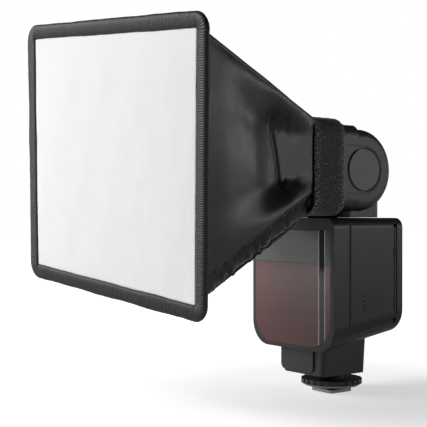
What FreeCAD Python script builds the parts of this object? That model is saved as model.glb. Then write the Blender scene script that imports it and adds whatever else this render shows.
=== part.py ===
import FreeCAD, Part
import os
import re
import Sketcher
from FreeCAD import Placement, Rotation, Vector

# A tall manual speedlight flash on a hot-shoe foot, with a small folding softbox strapped on its head.
# Millimetres. +Z is up, the light leaves towards -Y, and +X is the battery door's side.
# The origin is the middle of the shoe plate's bottom face.

SIZES = {
    # Hot-shoe foot
    "shoe_wide": 18.6,
    "shoe_long": 18.0,
    "shoe_thick": 2.0,
    "rail_room": 2.05,
    "throat_wide": 12.4,
    "throat_tall": 0.75,
    "core_radius": 8.0,
    "clamp_thick": 1.2,
    "clamp_radius": 17.0,
    "ring_thick": 3.1,
    "ring_radius": 19.2,
    "ring_lift": 4.5,
    "pin_radius": 1.3,
    "pin_ahead": 6.5,
    "plunger_radius": 1.2,
    "plunger_proud": 0.4,
    # Foot block under the casing
    "block_wide": 41.0,
    "block_taper": 2.0,
    "block_ahead": 24.7,
    "block_behind": 11.5,
    "block_tall": 16.5,
    "block_round": 3.0,
    "pad_left": 19.0,
    "pad_right": 11.0,
    "pad_proud": 1.2,
    # Casing
    "case_wide": 76.0,
    "case_deep": 58.0,
    "case_tall": 80.6,
    "case_behind": 24.5,
    "case_wall": 2.0,
    "case_edge": 6.0,
    "case_low_round": 15.0,
    "heel_rise": 9.0,
    "seam_behind": 12.7,
    "window_left": 35.0,
    "window_right": 34.5,
    "window_gap": 0.15,
    "window_proud": 0.3,
    "window_margin": 2.4,
    "window_drop": 7.3,
    "panel_tall": 20.0,
    "window_round": 17.0,
    "window_bevel": 0.8,
    "bevel_start": 9.5,
    "bevel_end": 5.0,
    # Battery door and its hinge
    "door_gap": 0.2,
    "door_drop": 3.6,
    "door_end": 8.1,
    "bead_radius": 0.6,
    "knuckle_in": 1.1,
    "knuckle_back": 6.3,
    "knuckle_radius": 1.3,
    "barrel_low": 19.0,
    "hinge_pin_radius": 0.6,
    "arm_tall": 5.6,
    "run_clear": 0.05,
    # Cells and their tray
    "cell_radius": 7.1,
    "cell_long": 50.5,
    "cell_nub": 1.0,
    "well_clear": 0.3,
    "well_wall": 0.3,
    "tray_wall": 1.5,
    "tray_low": 14.8,
    "tray_shift": 1.5,
    "spring_room": 3.7,
    "can_radius": 13.0,
    # Neck and tilt hinge
    "hinge_ahead": 7.6,
    "neck_gap": 0.3,
    "turntable_radius": 25.0,
    "turntable_thick": 0.6,
    "saddle_wide": 62.0,
    "lip_ahead": 7.3,
    "lip_tall": 3.9,
    "lip_round": 7.5,
    "saddle_deep": 22.0,
    "saddle_tall": 10.9,
    "spigot_radius": 9.5,
    "cable_radius": 6.0,
    "retainer_radius": 13.0,
    "tongue_wide": 34.8,
    "tongue_radius": 14.0,
    "tongue_clear": 0.6,
    "shaft_radius": 3.0,
    # Head
    "head_wide": 74.0,
    "head_above": 27.0,
    "head_below": 24.5,
    "head_reach": 68.4,
    "head_round": 7.0,
    "head_wall": 2.0,
    "ear_radius": 24.5,
    "ear_rim": 5.5,
    "ear_ahead": 4.5,
    "cap_radius": 12.5,
    "cap_moat": 0.9,
    "band_half": 14.3,
    "band_deep": 0.5,
    "bezel_deep": 4.0,
    "lens_wide": 62.0,
    "lens_tall": 36.0,
    "lens_thick": 1.9,
    "lens_drop": 3.0,
    "tube_radius": 2.2,
    "reflector_deep": 27.0,
    "reflector_back": 6.0,
    "reflector_wall": 0.8,
    "card_wide": 56.0,
    "card_thick": 0.8,
    "panel_thick": 1.2,
    # Softbox
    "cloth": 1.2,
    "lining": 0.4,
    "cloth_gap": 0.4,
    "collar_back": 12.4,
    "collar_front": 66.3,
    "strap_wide": 24.7,
    "strap_back": 18.3,
    "strap_thick": 1.8,
    "strap_room": 0.4,
    "box_reach": 156.3,
    "box_lift": 2.4,
    "diffuser_wide": 152.0,
    "diffuser_tall": 134.0,
    "diffuser_thick": 0.8,
    "binding_wide": 9.0,
    "binding_thick": 4.0,
    "wire_radius": 1.1,
    "box_roll": 5.5,
    "box_tilt": 4.0,
    "box_yaw": 3.0,
}

PLACES = {
    # Heights, from the shoe plate up
    "clamp_z": "shoe_thick + rail_room",
    "ring_z": "clamp_z + clamp_thick + 0.05",
    "ring_top": "ring_z + ring_thick",
    "block_z": "ring_top + ring_lift",
    "case_z": "block_z + block_tall",
    "case_top": "case_z + case_tall",
    "heel_z": "case_z + heel_rise",
    "table_z": "case_top + neck_gap",
    "table_top": "table_z + turntable_thick",
    "head_low": "table_top + strap_room + strap_thick + cloth + cloth_gap",
    "hinge_z": "head_low + head_below",
    "saddle_top": "table_top + saddle_tall",
    # Depths: the light leaves towards negative Y
    "case_back": "case_behind",
    "case_front": "case_behind - case_deep",
    "seam_y": "case_front + seam_behind",
    "hinge_y": "-hinge_ahead",
    "block_front": "-block_ahead",
    "block_back": "block_behind",
    "head_front": "hinge_y - head_reach",
    "bezel_y": "head_front + bezel_deep",
    "ear_y": "hinge_y - ear_ahead",
    "slot_y": "hinge_y - tongue_radius - 1",
    "room_back": "slot_y - head_wall",
    "collar_end": "hinge_y - collar_front",
    "collar_start": "hinge_y - collar_back",
    "box_y": "hinge_y - box_reach",
    "box_z": "hinge_z + box_lift",
    # Half widths and other shared places
    "case_half": "case_wide / 2",
    "head_half": "head_wide / 2",
    "head_top": "hinge_z + head_above",
    "collar_z": "(head_low + head_top) / 2",
    "lens_z": "hinge_z - lens_drop",
    "door_top": "case_top - door_drop",
    "door_back": "case_back - door_end",
    "knuckle_x": "case_half - knuckle_in",
    "knuckle_y": "case_back - knuckle_back",
    "window_low": "case_z + window_margin",
    "window_top": "case_top - window_drop",
    "window_split": "window_top - panel_tall",
    "cell_pitch": "cell_radius + well_clear + well_wall / 2",
    "tray_half": "cell_pitch + cell_radius + well_clear + tray_wall",
    "tray_z": "case_z + tray_low + tray_half",
    "tray_y": "-tray_shift",
    "can_z": "case_top - case_wall - 4.5 - can_radius",
    "cell_end": "case_half - case_wall - 2.8",
    "cell_start": "cell_end - cell_long",
    "tray_start": "cell_start - spring_room - tray_wall",
    "board_y": "case_back - case_wall - 6",
    "ear_half": "tongue_wide / 2 + tongue_clear",
    "collar_half_x": "head_half + cloth_gap",
    "collar_half_z": "(head_above + head_below) / 2 + cloth_gap",
    "trunk_y": "collar_start + 0.9",
}

DOCUMENT = FreeCAD.newDocument("speedlight")
NODES = []


def fill_sheets():
    """Driving sizes go in Dims as plain numbers; the places worked out from them go in Places."""
    dims = DOCUMENT.addObject("Spreadsheet::Sheet", "Dims")
    for row, (alias, number) in enumerate(SIZES.items(), start=1):
        dims.set(f"A{row}", str(number))
        dims.setAlias(f"A{row}", alias)
    places = DOCUMENT.addObject("Spreadsheet::Sheet", "Places")
    for row, (alias, text) in enumerate(PLACES.items(), start=1):
        places.set(f"A{row}", "=" + formula(text, own_sheet="PLACES"))
        places.setAlias(f"A{row}", alias)
    DOCUMENT.recompute()
    return dims, places


def formula(text, own_sheet=None):
    """Point each size or place that the text names at its cell."""

    def cell(match):
        word = match.group(0)
        if word in SIZES:
            return "Dims." + word
        if word in PLACES and own_sheet is None:
            return "Places." + word
        return word

    return re.sub(r"[a-z_]+[a-z_0-9]*", cell, str(text))


DIMS, PLACED = fill_sheets()


def size(alias):
    """The number that a size or place holds now."""
    sheet = DIMS if alias in SIZES else PLACED
    return float(sheet.get(alias))


def bind(piece, name, text):
    piece.setExpression(name, formula(text))


def keep(node, piece):
    """Name a finished sub-part after its node and put it on the list to write."""
    piece.Label = node
    NODES.append(piece)
    return piece


# ---------------------------------------------------------------- shapes that the sub-parts share

AXIS_TURN = {"x": Rotation(Vector(0, 1, 0), 90), "y": Rotation(Vector(1, 0, 0), -90), "z": Rotation()}


def box(name, x, y, z):
    """A box between two places on each axis."""
    piece = DOCUMENT.addObject("Part::Box", name)
    for prop, axis, (low, high) in (("Length", "x", x), ("Width", "y", y), ("Height", "z", z)):
        bind(piece, prop, f"({high}) - ({low})")
        bind(piece, "Placement.Base." + axis, low)
    return piece


def rod(name, axis, centre, span, radius):
    """A cylinder along one axis; centre holds its other two coordinates, in X, Y, Z order."""
    piece = DOCUMENT.addObject("Part::Cylinder", name)
    piece.Placement = Placement(Vector(), AXIS_TURN[axis])
    bind(piece, "Radius", radius)
    bind(piece, "Height", f"({span[1]}) - ({span[0]})")
    across = list(centre)
    for letter in "xyz":
        bind(piece, "Placement.Base." + letter, span[0] if letter == axis else across.pop(0))
    return piece


def fuse(name, *pieces):
    piece = DOCUMENT.addObject("Part::MultiFuse", name)
    piece.Shapes = list(pieces)
    return piece


def cut(name, base, *tools):
    piece = DOCUMENT.addObject("Part::Cut", name)
    piece.Base = base
    piece.Tool = tools[0] if len(tools) == 1 else fuse(name + "_tools", *tools)
    return piece


def common(name, base, tool):
    piece = DOCUMENT.addObject("Part::Common", name)
    piece.Base = base
    piece.Tool = tool
    return piece


def group(name, pieces):
    """Separate like solids in one node."""
    piece = DOCUMENT.addObject("Part::Compound", name)
    piece.Links = list(pieces)
    return piece


def draw_outline(sketch, outline):
    """Close the outline with lines, each corner held at its own distances from the sketch's origin."""
    count = len(outline)
    corners = [Vector(index % 3 + 1, index // 3 + 1, 0) for index in range(count)]
    for index in range(count):
        sketch.addGeometry(Part.LineSegment(corners[index], corners[(index + 1) % count]), False)
    for index, corner in enumerate(outline):
        sketch.addConstraint(Sketcher.Constraint("Coincident", index, 2, (index + 1) % count, 1))
        for kind, start, text in (("DistanceX", corners[index].x, corner[0]), ("DistanceY", corners[index].y,
                                                                               corner[1])):
            number = sketch.addConstraint(Sketcher.Constraint(kind, -1, 1, index, 1, start))
            bind(sketch, f"Constraints[{number}]", text)


def prism(name, plane, outline, span, rounds=()):
    """An outline on plane XY, XZ or YZ, padded over a span of the third axis, with its edges rounded.

    Each round is a radius and a test that picks the edges.
    """
    body = DOCUMENT.addObject("PartDesign::Body", name)
    sketch = body.newObject("Sketcher::SketchObject", name + "_outline")
    origin_plane = [item for item in body.Origin.OriginFeatures if item.Role == plane + "_Plane"][0]
    sketch.AttachmentSupport = (origin_plane, [""])
    sketch.MapMode = "FlatFace"
    draw_outline(sketch, outline)
    low, high = span
    bind(sketch, "AttachmentOffset.Base.z", f"-({high})" if plane == "XZ" else low)
    pad = body.newObject("PartDesign::Pad", name + "_pad")
    pad.Profile = sketch
    bind(pad, "Length", f"({high}) - ({low})")
    for radius, wanted in rounds:
        round_edges(body, radius, wanted)
    return body


def round_edges(body, radius, wanted):
    DOCUMENT.recompute()
    base = body.Tip
    bounds = base.Shape.BoundBox
    names = [f"Edge{number}" for number, edge in enumerate(base.Shape.Edges, start=1) if wanted(edge,
                                                                                                bounds)]
    fillet = body.newObject("PartDesign::Fillet", body.Name + "_round")
    fillet.Base = (base, names)
    bind(fillet, "Radius", radius)
    DOCUMENT.recompute()


def along(axis):
    """Picks straight edges that run along one axis."""

    def wanted(edge, bounds):
        straight = edge.Curve.TypeId == "Part::GeomLine"
        return straight and abs(edge.tangentAt(edge.FirstParameter)[axis]) > 0.9

    return wanted


def low_along_y(edge, bounds):
    return along(1)(edge, bounds) and edge.BoundBox.ZMax < bounds.Center.z


def top_and_rims(edge, bounds):
    """Picks the two upper long edges and every edge of the front and back faces."""
    upper = along(1)(edge, bounds) and edge.BoundBox.ZMin > bounds.Center.z
    return upper or edge.BoundBox.YMax < bounds.YMin + 0.01 or edge.BoundBox.YMin > bounds.YMax - 0.01


def round_rim(edge, bounds):
    return edge.Curve.TypeId == "Part::GeomCircle"


def rectangle(low_a, high_a, low_b, high_b):
    return [(low_a, low_b), (high_a, low_b), (high_a, high_b), (low_a, high_b)]


def four(name, pieces_at, first, second):
    """The same piece at each pairing of two places on one axis with two on another."""
    spots = [(one, other) for one in first for other in second]
    return [pieces_at(f"{name}_{number}", one, other) for number, (one, other) in enumerate(spots, start=1)]


# ---------------------------------------------------------------- hot-shoe foot

def throat():
    """The narrow part of the foot between the camera's rails; its upper part also fits the clamp's hole."""
    half = "throat_wide / 2"
    wide = (f"-{half}", half)
    low = box("throat_low", wide, ("-shoe_long / 2", "shoe_long / 2"),
              ("shoe_thick", "shoe_thick + throat_tall"))
    flats = box("throat_flats", wide, ("-shoe_long / 2", "shoe_long / 2"), ("shoe_thick", "clamp_z"))
    core = rod("throat_core", "z", ("0", "0"), ("shoe_thick", "clamp_z"), "core_radius")
    return fuse("throat", low, common("throat_high", flats, core))


def shoe_plate():
    """The plate that slides into a camera's shoe, with holes for the locking pin and the contact."""
    half = "shoe_wide / 2"
    long_half = "shoe_long / 2"
    plate = prism("shoe_plate_blank", "XY", rectangle(f"-{half}", half, f"-{long_half}", long_half),
                  ("0", "shoe_thick"), [("1.5", along(2))])
    pin_hole = rod("shoe_pin_hole", "z", ("0", "-pin_ahead"), ("-1", "shoe_thick + 1"), "pin_radius + 0.15")
    plunger_hole = rod("shoe_plunger_hole", "z", ("0", "0"), ("-1", "shoe_thick + 1"),
                       "plunger_radius + run_clear")
    screw_holes = foot_screw_shapes("shoe_screw_hole")
    keep("shoe_plate", cut("shoe_plate", plate, pin_hole, plunger_hole, *screw_holes))


def foot_screw_shapes(name):
    """Four countersunk screws that hold the shoe plate up to the stem."""

    def screw(label, x, y):
        head = rod(label + "_head", "z", (x, y), ("0.1", "1.1"), "1.5")
        shank = rod(label + "_shank", "z", (x, y), ("1.1", "clamp_z + 4"), "0.8")
        return fuse(label, head, shank)

    return four(name, screw, ("-4.2", "4.2"), ("-1.6", "4.8"))


def foot_stem():
    """The metal stem: a throat between the camera's rails and a threaded core for the lock ring."""
    core = rod("stem_core", "z", ("0", "0"), ("clamp_z", "block_z"), "core_radius")
    grooves = [stem_groove(number) for number in range(4)]
    flange = rod("stem_flange", "z", ("0", "0"), ("block_z", "block_z + 2"), "core_radius + 4")
    pin_hole = rod("stem_pin_hole", "z", ("0", "-pin_ahead"), ("0", "block_z - 0.5"), "pin_radius + 0.15")
    plunger_hole = rod("stem_plunger_hole", "z", ("0", "0"), ("0", "clamp_z + 3.5"),
                       "plunger_radius + run_clear")
    arm_room = box("pin_arm_room", ("-1.5", "1.5"), ("-core_radius - 1", "-pin_ahead"),
                   ("shoe_thick + 0.5", "ring_z"))
    whole = fuse("stem_whole", throat(), core, flange)
    holes = [pin_hole, plunger_hole, arm_room, *grooves, *foot_screw_shapes("stem_screw_hole")]
    keep("foot_stem", cut("foot_stem", whole, *holes))


def stem_groove(number):
    """One thread groove of the core above the lock ring."""
    low = f"ring_top + {0.6 + 1.0 * number}"
    outer = rod(f"groove_{number}_outer", "z", ("0", "0"), (low, low + " + 0.4"), "core_radius + 1")
    inner = rod(f"groove_{number}_inner", "z", ("0", "0"), (low, low + " + 0.4"), "core_radius - 0.6")
    return cut(f"groove_{number}", outer, inner)


def clamp_parts():
    """The clamp plate under the lock ring, and the locking pin that it pushes down."""
    plate = rod("clamp_blank", "z", ("0", "0"), ("clamp_z", "clamp_z + clamp_thick"), "clamp_radius")
    hole = rod("clamp_hole", "z", ("0", "0"), ("clamp_z - 1", "clamp_z + clamp_thick + 1"),
               "core_radius + 0.08")
    arm = box("clamp_arm", ("-1.2", "1.2"), ("-core_radius - 1", "-pin_ahead"),
              ("clamp_z", "clamp_z + clamp_thick"))
    keep("clamp_plate", cut("clamp_plate", plate, hole))
    pin = rod("pin_blank", "z", ("0", "-pin_ahead"), ("0.8", "clamp_z + clamp_thick"), "pin_radius")
    keep("locking_pin", common("locking_pin", fuse("pin_and_arm", pin, arm), pin_limit()))


def pin_limit():
    """Keeps the locking pin's arm inside the clamp plate's hole."""
    return rod("pin_limit", "z", ("0", "0"), ("0", "ring_z"), "core_radius + 0.08")


def lock_ring():
    """The knurled ring that screws down on the clamp plate, with grip notches round its rim."""
    ring = rod("ring_blank", "z", ("0", "0"), ("ring_z", "ring_top"), "ring_radius")
    hole = rod("ring_hole", "z", ("0", "0"), ("ring_z - 1", "ring_top + 1"), "core_radius + 0.08")
    notch = box("ring_notch", ("ring_radius - 0.8", "ring_radius + 1"), ("-0.7", "0.7"),
                ("ring_z - 1", "ring_top + 1"))
    DOCUMENT.recompute()
    notches = DOCUMENT.addObject("Part::Feature", "ring_notches")
    turns = [notch.Shape.copy() for _ in range(24)]
    for number, shape in enumerate(turns):
        shape.rotate(Vector(), Vector(0, 0, 1), number * 360 / len(turns))
    notches.Shape = Part.makeCompound(turns)
    keep("lock_ring", cut("lock_ring", ring, hole, notches))


def contact_plunger():
    """The sprung centre contact that presses on the camera's shoe."""
    head = rod("plunger_head", "z", ("0", "0"), ("-plunger_proud", "clamp_z + 2.5"), "plunger_radius")
    keep("contact_plunger", head)


def foot_block(case_form):
    """The tapered block under the casing, hollow, with a raised rounded pad on its front."""
    low_half = "(block_wide / 2 - block_taper)"
    high_half = "(block_wide / 2)"
    outline = [(f"-{low_half}", "block_z"), (low_half, "block_z"), (high_half, "heel_z"),
               (f"-{high_half}", "heel_z")]
    blank = prism("block_blank", "XZ", outline, ("block_front", "block_back"), [("block_round", along(2))])
    room = box("block_room", (f"-{low_half} + case_wall", f"{low_half} - case_wall"),
               ("block_front + case_wall", "block_back - case_wall"), ("block_z + 4", "heel_z + 1"))
    seat = rod("block_stem_seat", "z", ("0", "0"), ("block_z - 1", "block_z + 2"), "core_radius + 4")
    pad = prism("foot_pad", "XZ", rectangle("-pad_left", "pad_right", "block_z + 1.4", "case_z + 4"),
                ("block_front - pad_proud", "block_front + case_wall"), [("4", along(1))])
    keep("foot_block", cut("foot_block", fuse("block_and_pad", blank, pad), room, seat, case_form))


# ---------------------------------------------------------------- casing

def casing_solid(name, inset):
    """The casing's outer form, or its inner room when inset by the wall; its underside rises to the rear."""
    half = f"(case_half - {inset})"
    low = f"case_z + {inset}"
    high = f"case_top - {inset}"
    front = f"case_front + {inset}"
    back = f"case_back - {inset}"
    outline = [(front, low), (back, f"heel_z + {inset}"), (back, high), (front, high)]
    rounds = [(f"case_low_round - {inset}", low_along_y), (f"case_edge - {inset}", top_and_rims)]
    return prism(name, "YZ", outline, (f"-{half}", half), rounds)


def window_blank(name, grow):
    """The front window's outline, square at the top and generously round at its lower corners."""
    rounds = [("window_round", low_along_y)]
    outline = rectangle(f"-window_left - {grow}", f"window_right + {grow}", f"window_low - {grow}",
                        f"window_top + {grow}")
    return prism(name, "XZ", outline, ("case_front - 2", "case_front + case_edge + 2"), rounds)


def casing_covers(case_form, case_room):
    """Front and rear covers: one shell, parted at the seam in front of the battery door."""
    shell = cut("case_shell", case_form, case_room)
    ahead = box("ahead_of_seam", ("-case_half - 1", "case_half + 1"), ("case_front - 1", "seam_y"),
                ("case_z - 1", "case_top + 1"))
    posts = [rod(f"board_post_{number}", "x", ("case_front + 8", height),
                 ("-case_half + case_wall / 2", "-case_half + case_wall + 2"), "2.5")
             for number, height in enumerate(("case_z + 20", "case_top - 16"))]
    front = fuse("front_and_posts", common("front_shell", shell, ahead), *posts)
    keep("front_cover", cut("front_cover", front, window_blank("window_hole", "window_gap")))
    keep("rear_cover", cut("rear_cover", cut("rear_shell", shell, ahead), *rear_cover_holes()))


def rear_cover_holes():
    door_hole = box("door_hole", ("case_half - case_wall - 0.7", "case_half + 1"),
                    ("seam_y - 1", "knuckle_y + knuckle_radius + door_gap"),
                   ("case_z - 1", "door_top + door_gap"))
    spigot_hole = rod("spigot_hole", "z", ("0", "hinge_y"), ("case_top - case_wall - 1", "case_top + 1"),
                      "spigot_radius + run_clear")
    through = ("case_back - case_wall - 1", "case_back + 1")
    screen = box("screen_hole", ("-24.5", "24.5"), through, ("case_top - 34.5", "case_top - 6.5"))
    dial = rod("dial_hole", "y", ("0", "case_z + 24"), through, "11.3")
    test = rod("test_hole", "y", ("24", "case_z + 19"), through, "3.4")
    lamp = rod("lamp_hole", "y", ("24", "case_z + 27"), through, "1.5")
    slot = box("switch_slot", ("-26", "-22"), through, ("case_z + 19", "case_z + 29"))
    keys = [key_form(f"key_hole_{number}", x, through, "0.25") for number, x in enumerate(KEY_PLACES)]
    flap = box("flap_hole", ("-case_half - 1", "-case_half + case_wall + 1"), ("-2.2", "8.4"),
               ("case_z + 38.8", "case_z + 53.2"))
    socket = rod("socket_hole", "x", ("3", "case_z + 63"), ("-case_half - 1", "-case_half + case_wall + 1"),
                 "4")
    screws = [screw_hole(f"cover_screw_hole_{number}", x, z) for number, (x, z) in enumerate(COVER_SCREWS)]
    return [door_hole, spigot_hole, screen, dial, test, lamp, slot, flap, socket, *keys, *screws]


KEY_PLACES = ["-21", "-7", "7", "21"]
KEY_NAMES = ["mode_button", "light_button", "minus_button", "plus_button"]
COVER_SCREWS = [("-28.5", "case_z + 24"), ("28.5", "case_z + 24"), ("-28.5", "case_top - 8"),
                ("28.5", "case_top - 8")]


def key_form(name, x, y, grow):
    """A rounded key's outline below the screen."""
    outline = rectangle(f"{x} - 4 - {grow}", f"{x} + 4 + {grow}", f"case_top - 39.5 - {grow}",
                        f"case_top - 36 + {grow}")
    return prism(name, "XZ", outline, y, [("1.5", along(1))])


def screw_hole(name, x, z):
    head = rod(name + "_head", "y", (x, z), ("case_back - 1", "case_back + 1"), "2.1")
    shank = rod(name + "_shank", "y", (x, z), ("case_back - case_wall - 1", "case_back + 1"), "1.1")
    return fuse(name, head, shank)


def cover_screws():
    """Four screws through the rear cover."""

    def screw(number, x, z):
        head = rod(f"cover_screw_{number}_head", "y", (x, z), ("case_back - 1", "case_back - 0.1"), "2.1")
        cross = box(f"cover_screw_{number}_slot", (f"{x} - 1.5", f"{x} + 1.5"),
                    ("case_back - 0.6", "case_back"),
                    (f"{z} - 0.3", f"{z} + 0.3"))
        shank = rod(f"cover_screw_{number}_shank", "y", (x, z), ("board_y - 1.5", "case_back - 1"), "1.1")
        return cut(f"cover_screw_{number}", fuse(f"cover_screw_{number}_blank", head, shank), cross)

    keep("cover_screws", group("cover_screws", [screw(n, x, z) for n, (x, z) in enumerate(COVER_SCREWS)]))


def front_windows(case_room):
    """The grey upper panel and the dark red lower window, shaped to the front cover, a hair proud of it."""
    skin = cut("window_skin", casing_solid("window_form", "(-window_proud)"), case_room)
    whole = common("window_whole", skin, window_blank("window_outline", "0"))
    front = "case_front - window_proud"
    bevel = prism("window_bevel_cut", "XY",
                  [("window_right - bevel_start", front), ("window_right - bevel_start", f"{front} - 1"),
                   ("window_right + 1", f"{front} - 1"),
                   ("window_right + 1", f"{front} + window_bevel + 0.2"),
                   ("window_right - bevel_end", f"{front} + window_bevel")],
                  ("case_z", "case_top"))
    lower_half = box("below_split", ("-case_half", "case_half"),
                     ("case_front - 3", "case_front + case_edge + 3"),
                     ("case_z", "window_split"))
    bevelled = cut("window_bevelled", whole, bevel)
    keep("front_panel", cut("front_panel", bevelled, lower_half))
    keep("sensor_window", common("sensor_window", bevelled, lower_half))


# ---------------------------------------------------------------- battery door

def battery_door(case_form):
    """The side door: a piece of the casing's side, with two latch tongues, grip ribs and a hinge barrel."""
    side = box("door_limit", ("case_half - case_wall", "case_half + 1"), ("seam_y + door_gap", "door_back"),
               ("case_z - 1", "door_top"))
    plate = common("door_plate", case_form, side)
    tongues = [box(f"tongue_{number}", ("case_half - case_wall - 1.4", "case_half - case_wall"),
                   ("seam_y + 0.8", "seam_y + 4"), (z, z + " + 5"))
               for number, z in enumerate(("case_z + 24", "case_z + 58"))]
    grip = [box(f"door_rib_{number}", ("case_half - 0.2", "case_half + 0.5"), ("seam_y + 12", "seam_y + 28"),
                (f"case_z + {24 + 3 * number}", f"case_z + {25.2 + 3 * number}")) for number in range(4)]
    bore = rod("barrel_bore", "z", ("knuckle_x", "knuckle_y"), ("case_z", "case_top"),
               "hinge_pin_radius + run_clear")
    bead = rod("door_bead", "z", ("case_half - 0.1", "seam_y + door_gap + 0.8"),
               ("case_z + case_low_round", "door_top - 1"), "bead_radius")
    blank = fuse("door_blank", plate, *tongues, *grip, bead, *door_barrels())
    keep("battery_door", cut("battery_door", blank, bore))


CARRIER_ARMS = ("case_z + 26", "case_z + 56")


def door_barrels():
    """The hinge barrel along the door's rear edge, in three lengths between and beyond the rail's arms."""
    first, second = CARRIER_ARMS
    spans = (("case_z + barrel_low", f"{first} - door_gap"), (f"{first} + arm_tall + door_gap",
                                                                   f"{second} - door_gap"),
             (f"{second} + arm_tall + door_gap", "door_top - 2"))
    pieces = []
    for number, span in enumerate(spans):
        pieces.append(rod(f"barrel_{number}", "z", ("knuckle_x", "knuckle_y"), span, "knuckle_radius"))
        pieces.append(box(f"barrel_web_{number}", ("case_half - case_wall", "knuckle_x + 0.9"),
                          ("door_back - 0.5", "knuckle_y"), span))
    return pieces


def door_contacts():
    """Two spring plates inside the door that join the cells in pairs."""
    plates = []
    for number, side in enumerate(("-", "+")):
        low = f"tray_y {side} cell_pitch - 4"
        strip = box(f"contact_strip_{number}", ("case_half - case_wall - 0.6", "case_half - case_wall"),
                    (low, low + " + 8"), ("tray_z - 10.5", "tray_z + 10.5"))
        bumps = [rod(f"contact_bump_{number}_{turn}", "x", (f"tray_y {side} cell_pitch",
                                                            f"tray_z {turn} cell_pitch"),
                     ("cell_end + 0.5", "case_half - case_wall - 0.6"), "1.6") for turn in ("-", "+")]
        plates.append(fuse(f"contact_plate_{number}", strip, *bumps))
    keep("door_contacts", group("door_contacts", plates))


def door_carrier():
    """The rail that slides down with the door, and the pin that the door swings on."""
    rail = box("carrier_rail", ("case_half - case_wall - 2.4", "case_half - case_wall - 0.8"),
               ("knuckle_y - 6", "knuckle_y + 1"), ("case_z + 26", "case_z + 66"))
    arms = []
    for number, low in enumerate(CARRIER_ARMS):
        span = (low, low + " + arm_tall")
        knuckle = rod(f"carrier_knuckle_{number}", "z", ("knuckle_x", "knuckle_y"), span, "knuckle_radius")
        web = box(f"carrier_web_{number}", ("case_half - case_wall - 0.8", "knuckle_x"),
                  ("knuckle_y - 0.6", "knuckle_y + 0.7"), span)
        arms.append(fuse(f"carrier_arm_{number}", knuckle, web))
    z = ("case_z + barrel_low + 0.5", "door_top - 2.5")
    bore = rod("carrier_bore", "z", ("knuckle_x", "knuckle_y"), z, "hinge_pin_radius")
    keep("door_rail", cut("door_rail", fuse("carrier_blank", rail, *arms), bore))
    keep("door_hinge_pin", rod("door_hinge_pin", "z", ("knuckle_x", "knuckle_y"), z, "hinge_pin_radius"))


# ---------------------------------------------------------------- inside the casing

def battery_tray():
    """The moulded tray with a round well for each cell, open towards the door."""
    block = box("tray_block", ("tray_start", "cell_end"), ("tray_y - tray_half", "tray_y + tray_half"),
                ("tray_z - tray_half", "tray_z + tray_half"))

    def well(name, y, z):
        return rod(name, "x", (y, z), ("tray_start + tray_wall", "cell_end + 1"), "cell_radius + well_clear")

    cradle = box("cradle", ("-10", "10"), ("-15", "-5"), ("tray_z + tray_half", "can_z - 9"))
    blank = fuse("tray_blank", block, cradle)
    room = rod("cradle_room", "x", ("-10", "can_z"), ("-12", "12"), "can_radius")
    keep("battery_tray", cut("battery_tray", blank, room, *four("well", well, *cell_places())))


def cell_places():
    return ("tray_y - cell_pitch", "tray_y + cell_pitch"), ("tray_z - cell_pitch", "tray_z + cell_pitch")


def cells():
    """Four AA cells, each with its raised terminal."""

    def cell(name, y, z):
        can = rod(name + "_can", "x", (y, z), ("cell_start", "cell_end - cell_nub"), "cell_radius")
        nub = rod(name + "_nub", "x", (y, z), ("cell_end - cell_nub", "cell_end"), "2.7")
        return fuse(name, can, nub)

    keep("battery_cells", group("battery_cells", four("cell", cell, *cell_places())))


def cell_springs():
    """A stepped coil at the closed end of each well."""

    def spring(name, y, z):
        turns = [rod(f"{name}_turn_{step}", "x", (y, z), (f"tray_start + tray_wall + {1.1 * step}",
                                                          f"tray_start + tray_wall + {1.1 * (step + 1)}"),
                                                          f"{5 - step}")
                 for step in range(3)]
        hole = rod(name + "_hole", "x", (y, z), ("tray_start", "cell_start"), "2.2")
        return cut(name, fuse(name + "_turns", *turns), hole)

    keep("cell_springs", group("cell_springs", four("spring", spring, *cell_places())))


def power_parts():
    """The flash capacitor, the main board, and the step-up transformer ahead of the tray."""
    can = rod("capacitor_can", "x", ("-10", "can_z"), ("-28", "30"), "can_radius")
    lip = rod("capacitor_lip", "x", ("-10", "can_z"), ("24", "25"), "can_radius + 0.4")
    keep("main_capacitor", fuse("main_capacitor", can, lip))
    board_x = ("-case_half + case_wall + 2", "-case_half + case_wall + 3.6")
    board = box("main_board", board_x, ("case_front + 5", "-6"), ("case_z + 13", "case_top - 8"))
    keep("main_board", board)
    core = box("transformer_core", ("-29", "-13"), ("case_front + 4.5", "tray_y - tray_half"),
               ("case_z + 10", "case_z + 24"))
    coil = rod("transformer_coil", "z", ("-21", "case_front + 9.5"), ("case_z + 24", "case_z + 26"), "4.5")
    keep("step_up_transformer", fuse("step_up_transformer", core, coil))


def sensor_parts():
    """The small board behind the red window, with the domed slave sensor on it."""
    y = ("case_front + 4", "case_front + 5.6")
    keep("sensor_board", box("sensor_board", ("-20", "20"), y, ("case_z + 28", "case_z + 48")))
    sensor = box("slave_body", ("-14", "-6"), ("case_front + 3", "case_front + 4"),
                 ("case_z + 34", "case_z + 42"))
    dome = rod("slave_dome", "y", ("-10", "case_z + 38"), ("case_front + 2.2", "case_front + 3"), "3")
    keep("slave_sensor", fuse("slave_sensor", sensor, dome))


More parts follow.
